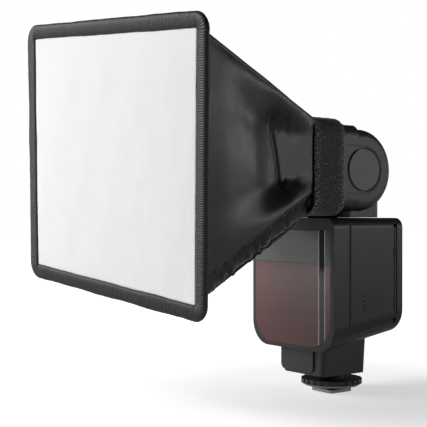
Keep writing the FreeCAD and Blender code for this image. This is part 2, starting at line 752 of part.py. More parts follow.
def control_parts():
    """Everything that works through the rear cover: the screen, keys, dial, switch and lamp."""
    board = box("control_board", ("-27", "27"), ("board_y", "board_y + 1.6"),
                ("case_z + 14", "case_top - 4.5"))
    keep("control_board", board)
    keep("screen_module", box("screen_module", ("-23", "23"), ("board_y + 1.6", "board_y + 4.6"),
                              ("case_top - 33", "case_top - 8")))
    keep("screen_glass", box("screen_glass", ("-24.5", "24.5"), ("case_back - 1.2", "case_back"),
                             ("case_top - 34.5", "case_top - 6.5")))
    for name, x in zip(KEY_NAMES, KEY_PLACES):
        keep(name, key_form(name, x, ("board_y + 2.6", "case_back + 0.8"), "0"))
    dial = rod("dial_blank", "y", ("0", "case_z + 24"), ("board_y + 3.6", "case_back + 1.6"), "11")
    dial_hole = rod("dial_bore", "y", ("0", "case_z + 24"), ("board_y", "case_back + 3"), "6.3")
    keep("control_dial", cut("control_dial", dial, dial_hole))
    keep("set_button", rod("set_button", "y", ("0", "case_z + 24"), ("board_y + 2.6", "case_back + 1.2"),
                           "6"))
    keep("test_button", rod("test_button", "y", ("24", "case_z + 19"), ("board_y + 2.6", "case_back + 0.9"),
                            "3.2"))
    keep("ready_lamp", rod("ready_lamp", "y", ("24", "case_z + 27"), ("board_y + 2", "case_back + 0.2"),
                           "1.5"))
    knob = box("switch_knob", ("-25.8", "-22.2"), ("board_y + 3.4", "case_back + 1.2"),
               ("case_z + 19.2", "case_z + 24.8"))
    keep("power_switch", knob)


def side_ports():
    """The sync socket, the power socket and the rubber flap over it."""
    body = rod("sync_blank", "x", ("3", "case_z + 63"), ("-case_half - 0.3", "-case_half + 9"), "4")
    bore = rod("sync_bore", "x", ("3", "case_z + 63"), ("-case_half - 1", "-case_half + 8"), "1.75")
    keep("sync_socket", cut("sync_socket", body, bore))
    flange = box("power_flange", ("-case_half + case_wall", "-case_half + case_wall + 1.4"), ("-4", "10"),
                 ("case_z + 37", "case_z + 55"))
    block = box("power_block", ("-case_half + case_wall + 1.4", "-case_half + 9"), ("-1", "7"),
                ("case_z + 40", "case_z + 52"))
    mouth = box("power_mouth", ("-case_half + case_wall - 1", "-case_half + 7"), ("0.5", "5.5"),
                ("case_z + 41.5", "case_z + 50.5"))
    keep("power_socket", cut("power_socket", fuse("power_blank", flange, block), mouth))
    plate = box("flap_plate", ("-case_half + 0.1", "-case_half + 1.6"), ("-1.8", "7.8"),
                ("case_z + 39.2", "case_z + 52.8"))
    lip = box("flap_lip", ("-case_half - 0.6", "-case_half + 0.1"), ("-1.6", "0.2"),
              ("case_z + 43", "case_z + 49"))
    root = rod("flap_root", "z", ("-case_half", "7.8"), ("case_z + 39.2", "case_z + 52.8"), "0.35")
    keep("port_flap", fuse("port_flap", plate, lip, root))


# ---------------------------------------------------------------- neck

def rear_upright(edge, bounds):
    return along(2)(edge, bounds) and edge.BoundBox.YMin > bounds.Center.y


def front_upright(edge, bounds):
    return along(2)(edge, bounds) and edge.BoundBox.YMin < bounds.Center.y


def neck_yoke():
    """The turning neck: a round table, a saddle with a low lip ahead of it, and the tongue that holds the head."""
    centre = ("0", "hinge_y")
    table = rod("neck_table", "z", centre, ("table_z", "table_top"), "turntable_radius")
    spigot = rod("neck_spigot", "z", centre, ("case_top - case_wall - 2.6", "table_z"), "spigot_radius")
    saddle = prism("saddle", "XY", rectangle("-saddle_wide / 2", "saddle_wide / 2", "ear_y + 0.6",
                                             "hinge_y + saddle_deep"),
                   ("table_z", "saddle_top"), [("8", rear_upright)])
    ear_room = rod("ear_room", "x", ("hinge_y", "hinge_z"), ("-case_half", "case_half"), "ear_radius + 0.5")
    trunk = box("trunk", ("-tongue_wide / 2", "tongue_wide / 2"), ("trunk_y", "hinge_y + tongue_radius"),
                ("table_z", "hinge_z"))
    top = rod("tongue_top", "x", ("hinge_y", "hinge_z"), ("-tongue_wide / 2", "tongue_wide / 2"),
              "tongue_radius")
    bore = rod("tongue_bore", "x", ("hinge_y", "hinge_z"), ("-tongue_wide", "tongue_wide"),
               "shaft_radius + run_clear")
    cable = rod("cable_way", "z", centre, ("case_top - 10", "hinge_z - 8"), "cable_radius")
    lip = prism("saddle_lip", "XY", rectangle("-saddle_wide / 2", "saddle_wide / 2", "ear_y - lip_ahead",
                                              "ear_y + 0.6"),
                ("table_z", "table_z + lip_tall"), [("lip_round", front_upright)])
    solid = fuse("neck_solid", table, spigot, cut("saddle_hollowed", saddle, ear_room), lip, trunk, top)
    keep("neck_yoke", cut("neck_yoke", solid, bore, cable))


def swivel_parts():
    """The retainer ring that holds the neck down in the casing's top."""
    centre = ("0", "hinge_y")
    under = "case_top - case_wall"
    disc = rod("retainer_disc", "z", centre, (f"{under} - 2.6", f"{under} - 1"), "retainer_radius")
    hole = rod("retainer_hole", "z", centre, (f"{under} - 4", f"{under}"), "spigot_radius")
    keep("swivel_retainer", cut("swivel_retainer", disc, hole))


# ---------------------------------------------------------------- head

def head_solid():
    """The head's outer form: a rounded block ahead of two round ears, slotted for the neck's tongue."""
    low = "head_low"
    block = prism("head_block", "XZ", rectangle("-head_half", "head_half", low, "head_top"),
                  ("bezel_y", "ear_y"),
                  [("head_round", along(1))])
    ears = DOCUMENT.addObject("PartDesign::Body", "ears")
    drum = ears.newObject("PartDesign::AdditiveCylinder", "ear_drum")
    bind(drum, "Radius", "ear_radius")
    bind(drum, "Height", "head_wide")
    round_edges(ears, "ear_rim", round_rim)
    ears.Placement = Placement(Vector(), AXIS_TURN["x"])
    for letter, place in (("x", "-head_half"), ("y", "hinge_y"), ("z", "hinge_z")):
        bind(ears, "Placement.Base." + letter, place)
    slot = box("tongue_slot", ("-ear_half", "ear_half"), ("slot_y", "hinge_y + ear_radius + 1"),
               ("head_low - 1", "hinge_z + tongue_radius + 1"))
    gap = box("ear_gap", ("-ear_half", "ear_half"), ("ear_y", "hinge_y + ear_radius + 1"),
              ("head_low - 1", "head_top + 1"))
    room = prism("head_room", "XZ", rectangle("-head_half + head_wall", "head_half - head_wall",
                                              "head_low + head_wall", "head_top - head_wall"),
                 ("bezel_y - 1", "room_back"), [("head_round - head_wall", along(1))])
    return cut("head_form", fuse("head_outer", block, ears), slot, gap, room, *head_side_recesses(),
               shaft_hole())


def shaft_hole():
    return rod("shaft_hole", "x", ("hinge_y", "hinge_z"), ("-head_half", "head_half"), "shaft_radius")


def head_side_recesses():
    """On each side, a seat for the hinge cap inside a shallow keyhole-shaped band."""
    tools = []
    for number, (inner, outer) in enumerate((("-head_half - 1", "-head_half"),
                                             ("head_half", "head_half + 1"))):
        deep = (inner, f"{outer} + band_deep") if number == 0 else (f"{inner} - band_deep", outer)
        moat = (inner, "-head_half + 1.6") if number == 0 else ("head_half - 1.6", outer)
        tools.append(box(f"band_{number}", deep, ("bezel_y - 1", "hinge_y"),
                         ("hinge_z - band_half", "hinge_z + band_half")))
        tools.append(rod(f"band_end_{number}", "x", ("hinge_y", "hinge_z"), deep, "band_half"))
        tools.append(rod(f"cap_seat_{number}", "x", ("hinge_y", "hinge_z"), moat, "cap_radius + cap_moat"))
    return tools


def head_shells():
    """Upper and lower head shells, parted on the hinge's level."""
    solid = head_solid()
    half = box("upper_half", ("-head_half - 1", "head_half + 1"),
               ("head_front - 1", "hinge_y + ear_radius + 1"),
               ("hinge_z", "head_top + 1"))
    keep("head_upper_shell", common("head_upper_shell", solid, half))
    keep("head_lower_shell", cut("head_lower_shell", cut("lower_half", solid, half),
                                 *head_screw_shapes("head_screw_hole")))


def head_screw_shapes(name):
    """Two screws from below through the thick part of the lower shell."""
    pieces = []
    for number, x in enumerate(("-28", "28")):
        head = rod(f"{name}_{number}_head", "z", (x, "slot_y + 4"), ("head_low + 0.2", "head_low + 1.8"),
                   "2.2")
        shank = rod(f"{name}_{number}_shank", "z", (x, "slot_y + 4"), ("head_low + 1.8", "hinge_z - 6"),
                    "1.2")
        pieces.append(fuse(f"{name}_{number}", head, shank))
    return pieces


def tilt_parts():
    """The shaft through both ears and the tongue, with a flat cap over each end."""
    keep("tilt_shaft", rod("tilt_shaft", "x", ("hinge_y", "hinge_z"), ("-head_half + 2", "head_half - 2"),
                           "shaft_radius"))
    spans = (("-head_half - 0.2", "-head_half + 1.6"), ("head_half - 1.6", "head_half + 0.2"))
    caps = [rod(f"cap_{number}", "x", ("hinge_y", "hinge_z"), span, "cap_radius") for number,
            span in enumerate(spans)]
    keep("hinge_caps", group("hinge_caps", caps))


def lens_parts():
    """The front bezel and the ribbed lens that sits in its back."""
    outer = prism("bezel_blank", "XZ", rectangle("-head_half", "head_half", "head_low", "head_top"),
                  ("head_front", "bezel_y"), [("head_round", along(1))])
    half = "lens_wide / 2"
    tall = "lens_tall / 2"
    mouth = box("bezel_mouth", (f"-{half}", half), ("head_front - 1", "bezel_y + 1"),
                (f"lens_z - {tall}", f"lens_z + {tall}"))
    seat = box("bezel_seat", (f"-{half} - 1.5", f"{half} + 1.5"), ("bezel_y - lens_thick - 0.1",
                                                                   "bezel_y + 1"),
               (f"lens_z - {tall} - 1.5", f"lens_z + {tall} + 1.5"))
    slot = box("card_mouth", ("-card_wide / 2 - 2", "card_wide / 2 + 2"), ("head_front - 1", "bezel_y + 1"),
               ("head_top - 8", "head_top - 3"))
    keep("front_bezel", cut("front_bezel", outer, mouth, seat, slot))
    lens = box("lens_blank", (f"-{half} - 1.5", f"{half} + 1.5"), ("bezel_y - lens_thick - 0.1",
                                                                   "bezel_y - 0.1"),
               (f"lens_z - {tall} - 1.5", f"lens_z + {tall} + 1.5"))
    ribs = [box(f"lens_groove_{number}", (f"-{half}", half), ("bezel_y - 0.7", "bezel_y"),
                (f"lens_z - {tall} + {3 + 3 * number}",
                 f"lens_z - {tall} + {4.2 + 3 * number}")) for number in range(10)]
    keep("fresnel_lens", cut("fresnel_lens", lens, *ribs))


def wall_rectangle(name, y, half_x, half_z, centre_z):
    """A standing rectangle across the light's way, used as a loft's section."""
    sketch = DOCUMENT.addObject("Sketcher::SketchObject", name)
    draw_outline(sketch, rectangle(f"-({half_x})", half_x, f"-({half_z})", half_z))
    sketch.Placement = Placement(Vector(), Rotation(Vector(1, 0, 0), 90))
    bind(sketch, "Placement.Base.y", y)
    bind(sketch, "Placement.Base.z", centre_z)
    return sketch


def loft(name, *sections):
    piece = DOCUMENT.addObject("Part::Loft", name)
    piece.Sections = list(sections)
    piece.Solid = True
    piece.Ruled = True
    return piece


def reflector_form(name, inset):
    """The reflector's flaring trough, or its hollow."""
    mouth = f"(lens_tall / 2 - {inset})"
    back = f"(reflector_back - {inset})"
    far = f"bezel_y + reflector_deep - {inset}"
    outline = [("bezel_y", f"lens_z - {mouth}"), (far, f"lens_z - {back}"), (far, f"lens_z + {back}"),
               ("bezel_y", f"lens_z + {mouth}")]
    return prism(name, "YZ", outline, (f"-(lens_wide / 2 - {inset})", f"lens_wide / 2 - {inset}"))


def light_parts():
    """The reflector, the flash tube across it and the tube's end holders."""
    tube_y = "bezel_y + reflector_deep - 5"
    centre = (tube_y, "lens_z")
    tube_end = "lens_wide / 2 + 2.6"
    way = rod("tube_way", "x", centre, ("-head_half", "head_half"), "tube_radius + 0.4")
    outer = reflector_form("reflector_outer", "0")
    keep("reflector", cut("reflector", outer, reflector_form("reflector_inner", "reflector_wall"), way))
    keep("flash_tube", rod("flash_tube", "x", centre, (f"-({tube_end})", tube_end), "tube_radius"))
    holders = []
    for number, (low, high) in enumerate((("-lens_wide / 2 - 3.6", "-lens_wide / 2 - 0.3"),
                                          ("lens_wide / 2 + 0.3", "lens_wide / 2 + 3.6"))):
        block = box(f"holder_{number}_block", (low, high), (f"{tube_y} - 4", f"{tube_y} + 4"),
                    ("lens_z - 5", "lens_z + 5"))
        hole = rod(f"holder_{number}_hole", "x", centre, (f"-({tube_end})", tube_end), "tube_radius")
        holders.append(cut(f"holder_{number}", block, hole))
    keep("tube_holders", group("tube_holders", holders))


def pull_out_parts():
    """The white catch-light card and the clear wide-angle panel in their slot over the lens."""
    half = "card_wide / 2"
    y = ("head_front - 0.4", "head_front + 44")
    keep("bounce_card", box("bounce_card", (f"-{half}", half), y, ("head_top - 4.4 - card_thick",
                                                                   "head_top - 4.4")))
    keep("wide_panel", box("wide_panel", (f"-{half} - 1", f"{half} + 1"),
                           ("head_front + 0.4", "head_front + 46"),
                           ("head_top - 7.2", "head_top - 7.2 + panel_thick")))


# ---------------------------------------------------------------- softbox

def box_turn():
    """How the sprung frame hangs on the head: a little rolled, drooping and turned aside."""
    roll = Rotation(Vector(0, 1, 0), size("box_roll"))
    droop = Rotation(Vector(1, 0, 0), size("box_tilt"))
    aside = Rotation(Vector(0, 0, 1), size("box_yaw"))
    return aside.multiply(droop).multiply(roll)


def hang(piece, extra=Rotation()):
    """Put a piece that is modelled about the frame's own middle where the frame hangs."""
    piece.Placement = Placement(Vector(), box_turn().multiply(extra))
    bind(piece, "Placement.Base.y", "box_y")
    bind(piece, "Placement.Base.z", "box_z")
    return piece


def pyramid(name, inset):
    """The flaring cloth between the collar and the frame, or a smaller one to hollow it out."""
    near = wall_rectangle(name + "_near", "collar_end", f"collar_half_x + cloth - {inset}",
                          f"collar_half_z + cloth - {inset}", "collar_z")
    far = wall_rectangle(name + "_far", "0", f"diffuser_wide / 2 + cloth - {inset}",
                         f"diffuser_tall / 2 + cloth - {inset}", "0")
    hang(far, Rotation(Vector(1, 0, 0), 90))
    return loft(name, near, far)


def sleeve(name, start, end, inset, grow):
    """A rectangular tube round the head; inset and grow are its two faces' distances off the collar's inside."""
    outer = box(name + "_outer", (f"-(collar_half_x + {grow})", f"collar_half_x + {grow}"), (start, end),
                (f"collar_z - (collar_half_z + {grow})", f"collar_z + collar_half_z + {grow}"))
    inner = box(name + "_inner", (f"-(collar_half_x + {inset})", f"collar_half_x + {inset}"),
                (f"{start} - 1", f"{end} + 1"),
                (f"collar_z - (collar_half_z + {inset})", f"collar_z + collar_half_z + {inset}"))
    return cut(name, outer, inner)


def softbox_cloth():
    """The black outer cloth: a collar over the head and four flaring sides."""
    sides = cut("box_sides", pyramid("sides_outer", "0"), pyramid("sides_inner", "cloth"))
    collar = sleeve("box_collar", "collar_end", "collar_start", "0", "cloth")
    keep("softbox_shell", fuse("softbox_shell", sides, collar))


def softbox_lining():
    """The silver inner cloth that lies against the black one."""
    outer = pyramid("lining_outer", "cloth")
    inner = pyramid("lining_inner", "(cloth + lining)")
    keep("softbox_lining", cut("softbox_lining", outer, inner))


def softbox_front():
    """The white diffusing cloth and the bound frame round it, with its steel wire inside."""
    half_x = "diffuser_wide / 2"
    half_z = "diffuser_tall / 2"
    front = ("-diffuser_thick", "0")
    panel = prism("softbox_diffuser", "XZ", rectangle(f"-{half_x}", half_x, f"-{half_z}", half_z), front)
    keep("softbox_diffuser", hang(panel))
    edge_x = f"({half_x} + binding_wide)"
    edge_z = f"({half_z} + binding_wide)"
    depth = ("-binding_thick / 2", "binding_thick / 2")
    band = prism("binding_blank", "XZ", rectangle(f"-{edge_x}", edge_x, f"-{edge_z}", edge_z), depth,
                 [("7", along(1))])
    mouth = prism("binding_mouth", "XZ", rectangle(f"-{half_x} - cloth", f"{half_x} + cloth",
                                                   f"-{half_z} - cloth",
                                                   f"{half_z} + cloth"), ("-binding_thick", "binding_thick"))
    wire = frame_wire("wire")
    keep("softbox_binding", hang(cut("softbox_binding", band, mouth, frame_wire("wire_way"))))
    keep("frame_wire", hang(wire))


def frame_wire(name):
    """A steel wire rectangle that keeps the frame open."""
    x = "diffuser_wide / 2 + binding_wide / 2 + 0.5"
    z = "diffuser_tall / 2 + binding_wide / 2 + 0.5"
    runs = [rod(f"{name}_run_{number}", "x", ("0", place), (f"-({x})", x), "wire_radius")
            for number, place in enumerate((f"-({z})", z))]
    runs += [rod(f"{name}_side_{number}", "z", (place, "0"), (f"-({z})", z), "wire_radius")
             for number, place in enumerate((f"-({x})", x))]
    return fuse(name, *runs, *four(name + "_ball", wire_ball, (f"-({x})", x), (f"-({z})", z)))


def wire_ball(name, x, z):
    ball = DOCUMENT.addObject("Part::Sphere", name)
    bind(ball, "Radius", "wire_radius")
    bind(ball, "Placement.Base.x", x)
    bind(ball, "Placement.Base.z", z)
    return ball


def softbox_strap():
    """The hook-and-loop strap that is pulled tight round the collar."""
    start = "hinge_y - strap_back - strap_wide"
    strap = sleeve("softbox_strap", start, "hinge_y - strap_back", "cloth", "cloth + strap_thick")
    keep("softbox_strap", strap)


# ---------------------------------------------------------------- build, check and write

def build_all():
    shoe_plate()
    foot_stem()
    keep("foot_screws", group("foot_screws", foot_screw_shapes("foot_screw")))
    clamp_parts()
    lock_ring()
    contact_plunger()
    case_form = casing_solid("case_form", "0")
    case_room = casing_solid("case_room", "case_wall")
    foot_block(case_form)
    casing_covers(case_form, case_room)
    front_windows(case_room)
    cover_screws()
    battery_door(case_form)
    door_contacts()
    door_carrier()
    battery_tray()
    cells()
    cell_springs()
    power_parts()
    sensor_parts()
    control_parts()
    side_ports()
    neck_yoke()
    swivel_parts()
    head_shells()
    keep("head_screws", group("head_screws", head_screw_shapes("head_screw")))
    tilt_parts()
    lens_parts()
    light_parts()
    pull_out_parts()
    softbox_cloth()
    softbox_lining()
    softbox_front()
    softbox_strap()


def check_and_write():
    """Refuse a failed feature or an empty or broken shape, then write one file for each node."""
    DOCUMENT.recompute()
    for item in DOCUMENT.Objects:
        if "Invalid" in item.State or "Error" in item.State:
            raise RuntimeError(f"{item.Label} did not build: {item.State}")
    os.makedirs("parts", exist_ok=True)
    for piece in NODES:
        if piece.Shape.isNull() or not piece.Shape.isValid() or not piece.Shape.Solids:
            raise RuntimeError(f"{piece.Label} has no valid solid")
    for piece in NODES:
        piece.Shape.exportStep(os.path.join("parts", piece.Label + ".step"))
        print(piece.Label, len(piece.Shape.Solids), round(piece.Shape.Volume, 1))


build_all()
check_and_write()
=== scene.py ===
import bpy
import numpy as np
from mathutils import Euler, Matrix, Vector


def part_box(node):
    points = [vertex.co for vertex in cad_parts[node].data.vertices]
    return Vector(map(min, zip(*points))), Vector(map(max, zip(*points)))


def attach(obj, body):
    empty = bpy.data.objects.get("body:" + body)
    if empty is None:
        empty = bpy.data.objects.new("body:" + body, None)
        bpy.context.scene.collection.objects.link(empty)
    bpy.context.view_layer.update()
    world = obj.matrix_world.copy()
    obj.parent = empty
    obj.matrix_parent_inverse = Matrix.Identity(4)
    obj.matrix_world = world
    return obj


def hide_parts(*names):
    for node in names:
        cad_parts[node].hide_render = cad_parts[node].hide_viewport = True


# A manual speedlight flash that wears a small folding softbox. Metres, +Z up, the light leaves towards -Y.

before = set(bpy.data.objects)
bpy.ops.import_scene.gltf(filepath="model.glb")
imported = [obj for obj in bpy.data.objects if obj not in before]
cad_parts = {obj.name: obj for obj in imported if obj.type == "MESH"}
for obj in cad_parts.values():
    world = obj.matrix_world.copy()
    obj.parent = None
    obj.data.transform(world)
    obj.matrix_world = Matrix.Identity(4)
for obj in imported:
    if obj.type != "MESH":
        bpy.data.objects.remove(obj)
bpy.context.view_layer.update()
MM = 0.001


# ---- Studio: a pale sweep of paper, four soft lamps and the camera.
# The paper is matt white. The lamps are cloth-covered boxes: two ahead of the flash and two narrow behind.

def linear(code):
    """An sRGB hex colour as linear light: the standard curve, channel by channel."""
    channels = [int(code[start:start + 2], 16) / 255 for start in (1, 3, 5)]
    return [*(c / 12.92 if c <= 0.04045 else ((c + 0.055) / 1.055) ** 2.4 for c in channels), 1.0]


def add(tree, kind, inputs=(), **settings):
    """Add one shader node. An input given as (node, output name) is linked, and any other is set."""
    node = tree.nodes.new("ShaderNode" + kind)
    for name, value in settings.items():
        setattr(node, name, value)
    for name, value in dict(inputs).items():
        if isinstance(value, tuple) and isinstance(value[0], bpy.types.Node):
            tree.links.new(value[0].outputs[value[1]], node.inputs[name])
        else:
            node.inputs[name].default_value = value
    return node


def new_material(name):
    """An empty node material and its tree."""
    material = bpy.data.materials.new(name)
    material.use_nodes = True
    material.node_tree.nodes.clear()
    return material, material.node_tree


def surface_of(tree, inputs):
    """Close a material with one Principled surface."""
    shader = add(tree, "BsdfPrincipled", inputs)
    add(tree, "OutputMaterial", {"Surface": (shader, "BSDF")})
    return shader


def mesh_piece(name, points, faces, material, smooth=True):
    """A mesh object at the origin from an array of points and an array of faces."""
    mesh = bpy.data.meshes.new(name)
    mesh.from_pydata(points.reshape(-1, 3), [], faces.tolist())
    mesh.polygons.foreach_set("use_smooth", np.full(len(mesh.polygons), smooth))
    mesh.materials.append(material)
    piece = bpy.data.objects.new(name, mesh)
    bpy.context.scene.collection.objects.link(piece)
    return piece


def grid_faces(rows, columns, round_rows=False, round_columns=False):
    """Quads between neighbouring points of a grid. A round direction joins its last line to its first."""
    row = np.arange(rows if round_rows else rows - 1)
    column = np.arange(columns if round_columns else columns - 1)
    r, c = (a.ravel() for a in np.meshgrid(row, column, indexing="ij"))
    next_r, next_c = (r + 1) % rows, (c + 1) % columns
    corners = (r * columns + c, r * columns + next_c, next_r * columns + next_c, next_r * columns + c)
    return np.stack(corners, 1)


# White paper: no gloss, and a glow of its own that grows with distance, so that the far floor stays white.
paper, tree = new_material("matt_white_paper")
coords = add(tree, "TexCoord")
fibres = add(tree, "TexNoise", {"Vector": (coords, "Object"), "Scale": 900.0, "Detail": 2.0})
tooth = add(tree, "Bump", {"Height": (fibres, "Fac"), "Strength": 0.05, "Distance": 0.0002})
away = add(tree, "VectorMath", {0: (coords, "Object")}, operation="LENGTH")
fade = add(tree, "MapRange", {"Value": (away, "Value"), "From Min": 0.08, "From Max": 0.3, "To Min": 0.55,
                              "To Max": 1.0})
direct = add(tree, "LightPath")
glow = add(tree, "MapRange", {"Value": (direct, "Is Camera Ray"), "To Min": 0.1, "To Max": (fade, "Result")})
surface_of(tree, {"Base Color": linear("#f6f6f6"), "Roughness": 0.9, "Normal": (tooth, "Normal"),
                  "Emission Color": linear("#ffffff"), "Emission Strength": (glow, "Result")})
span = np.linspace(-4, 4, 9)
paper_y, paper_x = np.meshgrid(span, span, indexing="ij")
floor = mesh_piece("studio_floor", np.stack([paper_x, paper_y, np.zeros_like(paper_x)], 2), grid_faces(9, 9),
                   paper)

world = bpy.data.worlds.new("studio_air")
world.use_nodes = True
tree = world.node_tree
tree.nodes.clear()
seen = add(tree, "Background", {"Color": linear("#ffffff"), "Strength": 1.0})
dim = add(tree, "Background", {"Color": linear("#dfe3e8"), "Strength": 0.06})
rays = add(tree, "LightPath")
both = add(tree, "MixShader", {"Fac": (rays, "Is Camera Ray")})
tree.links.new(dim.outputs[0], both.inputs[1])
tree.links.new(seen.outputs[0], both.inputs[2])
add(tree, "OutputWorld", {"Surface": (both, "Shader")})
bpy.context.scene.world = world
bpy.context.scene.view_settings.view_transform = "Standard"


def lamp(name, place, aim, wide, tall, watts):
    """A soft rectangular lamp that faces a point on the flash."""
    data = bpy.data.lights.new(name, "AREA")
    data.shape = "RECTANGLE"
    data.size = wide
    data.size_y = tall
    data.energy = watts
    piece = bpy.data.objects.new(name, data)
    piece.location = place
    piece.rotation_euler = (Vector(aim) - Vector(place)).to_track_quat("-Z", "Y").to_euler()
    bpy.context.scene.collection.objects.link(piece)


lamp("key_lamp", (-0.75, -1.25, 0.75), (0, -0.12, 0.13), 0.7, 0.7, 18)
lamp("window_fill", (-1.0, -0.75, 0.2), (0, -0.03, 0.08), 0.9, 0.6, 1.3)
lamp("collar_lamp", (0.8, 0.6, 0.27), (0, -0.05, 0.14), 0.4, 0.12, 1.3)
lamp("rear_lamp", (0.25, 1.3, 0.24), (0, -0.1, 0.14), 0.8, 0.12, 0.9)

camera_data = bpy.data.cameras.new("camera")
camera_data.lens = 85.6
camera_data.sensor_width = 36.0
camera = bpy.data.objects.new("camera", camera_data)
camera.location = (0.47642, -0.44495, 0.11274)
camera.rotation_euler = Euler((np.radians(90), 0, np.radians(53.585)))
bpy.context.scene.collection.objects.link(camera)
bpy.context.scene.camera = camera


# ---- Hot-shoe foot: a stamped steel plate and clamp, a sprung pin and a gilt contact.
# The plate is nickel plated over brushed steel, so it shows fine lines along its length.

def paint(material, *names):
    """Put a material on every slot of the named pieces of the frame."""
    for name in names:
        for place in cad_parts[name].material_slots:
            place.material = material


def plated_metal(name, colour, roughness, line_mm):
    """Metal with fine brushed lines along Y: noise squeezed across the lines gives gloss and height."""
    material, tree = new_material(name)
    coords = add(tree, "TexCoord")
    squeeze = add(tree, "Mapping", {"Vector": (coords, "Object"), "Scale": (1.0, 0.04, 1.0)})
    lines = add(tree, "TexNoise", {"Vector": (squeeze, "Vector"), "Scale": 1 / (line_mm * MM), "Detail": 4.0})
    stains = add(tree, "TexNoise", {"Vector": (coords, "Object"), "Scale": 160.0, "Detail": 3.0})
    gloss = add(tree, "MapRange", {"Value": (lines, "Fac"), "To Min": roughness - 0.08,
                                   "To Max": roughness + 0.1})
    tint = add(tree, "MixRGB", {"Fac": (stains, "Fac"), "Color1": linear(colour),
                                "Color2": linear("#8d8c8a")})
    height = add(tree, "Bump", {"Height": (lines, "Fac"), "Strength": 0.15, "Distance": 0.00005})
    surface_of(tree, {"Base Color": (tint, "Color"), "Metallic": 1.0, "Roughness": (gloss, "Result"),
                      "Normal": (height, "Normal")})
    return material


nickel_plate = plated_metal("nickel_plated_steel", "#c9c8c4", 0.3, 0.25)
paint(nickel_plate, "shoe_plate", "clamp_plate")
bright_steel = plated_metal("bright_turned_steel", "#d0d0d2", 0.22, 0.2)
paint(bright_steel, "locking_pin", "foot_screws", "cell_springs")
gilt_brass = plated_metal("gilt_brass", "#d9b25c", 0.2, 0.2)
paint(gilt_brass, "contact_plunger")


# ---- Foot stem, lock ring and foot block: glass-filled nylon, moulded, with a fine eroded grain.
# The ring is turned by the fingers, so its rim is slightly polished.

def moulded_plastic(name, colour, roughness, grain_mm, depth, coat=0.0, wear_and_highlight="#6d6d6c"):
    """Moulded plastic: an eroded grain, faint flow marks, a slightly uneven gloss and softer edges, paler
    partly from wear and partly as a painted highlight.
    """
    material, tree = new_material(name)
    coords = add(tree, "TexCoord")
    grain = add(tree, "TexNoise", {"Vector": (coords, "Object"), "Scale": 1 / (grain_mm * MM), "Detail": 3.0,
                                   "Roughness": 0.6})
    flow = add(tree, "TexNoise", {"Vector": (coords, "Object"), "Scale": 38.0, "Detail": 3.0})
    shade = add(tree, "MixRGB", {"Fac": 0.1, "Color1": linear(colour), "Color2": (flow, "Color")},
                blend_type="OVERLAY")
    softened = add(tree, "Bevel", {"Radius": 0.00045}, samples=4)
    geometry = add(tree, "NewGeometry")
    turned = add(tree, "VectorMath", {0: (softened, "Normal"), 1: (geometry, "Normal")},
                 operation="DOT_PRODUCT")
    # Paler edges: partly rubbed wear and partly a painted highlight that follows every edge whatever the
    # light.
    edge = add(tree, "MapRange", {"Value": (turned, "Value"), "From Min": 0.995, "From Max": 0.75,
                                  "To Min": 0.0, "To Max": 0.35})
    rubbed_and_highlit = add(tree, "MixRGB", {"Fac": (edge, "Result"), "Color1": (shade, "Color"),
                                  "Color2": linear(wear_and_highlight)})
    gloss = add(tree, "MapRange", {"Value": (grain, "Fac"), "To Min": roughness - 0.07,
                                   "To Max": roughness + 0.07})
    height = add(tree, "Bump", {"Height": (grain, "Fac"), "Strength": 0.35, "Distance": depth * MM,
                                "Normal": (softened, "Normal")})
    surface_of(tree, {"Base Color": (rubbed_and_highlit, "Color"), "Roughness": (gloss, "Result"), "IOR": 1.53,
                      "Coat Weight": coat, "Coat Roughness": 0.12, "Normal": (height, "Normal")})
    return material


foot_nylon = moulded_plastic("glass_filled_nylon", "#2b2b2c", 0.5, 0.7, 0.06)
paint(foot_nylon, "foot_stem")
paint(moulded_plastic("foot_block_abs", "#2e2e30", 0.48, 0.6, 0.05), "foot_block")
paint(moulded_plastic("lock_ring_abs", "#333335", 0.4, 0.5, 0.04), "lock_ring")


# ---- Casing: two covers of black ABS, moulded with a fine eroded grain that has gone a little grey.
# Four blackened screws hold the rear cover.

casing_abs = moulded_plastic("faded_black_abs", "#1d1d1e", 0.42, 0.55, 0.05, wear_and_highlight="#5c5c5c")
paint(casing_abs, "front_cover", "rear_cover")
black_screws = moulded_plastic("blackened_screw_steel", "#1c1c1d", 0.32, 0.3, 0.02)
paint(black_screws, "cover_screws", "head_screws")


# ---- Front panel and sensor window: a grey panel above a dark red one, polished acrylic from the same mould.
# The red one is clear enough for infrared, and shows a little of the dark room behind it.

panel_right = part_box("front_panel")[1][0]
BEVEL_START = panel_right - 9.5 * MM
BEVEL_END = panel_right - 5.0 * MM
HIGHLIGHT_LINE_HALF = 0.35 * MM


def bevel_shade_and_highlights(tree, coords, plain, painted_bevel_shade, beyond, painted_edge_highlight):
    """Colours across the bevel on the right: painted shade where it dips, a deeper tint beyond, and painted
    highlight lines along both edges.
    """
    place = add(tree, "SeparateXYZ", {"Vector": (coords, "Object")})
    colour = plain
    for start, code in ((BEVEL_START, painted_bevel_shade), (BEVEL_END, beyond)):
        past = add(tree, "Math", {0: (place, "X"), 1: start}, operation="GREATER_THAN")
        step = add(tree, "MixRGB", {"Fac": (past, "Value"), "Color1": colour, "Color2": linear(code)})
        colour = (step, "Color")
    for middle in (BEVEL_START, BEVEL_END):
        away = add(tree, "Math", {0: (place, "X"), 1: middle, 2: HIGHLIGHT_LINE_HALF}, operation="COMPARE")
        highlight_line = add(tree, "MixRGB", {"Fac": (away, "Value"), "Color1": colour, "Color2": linear(painted_edge_highlight)})
        colour = (highlight_line, "Color")
    return colour


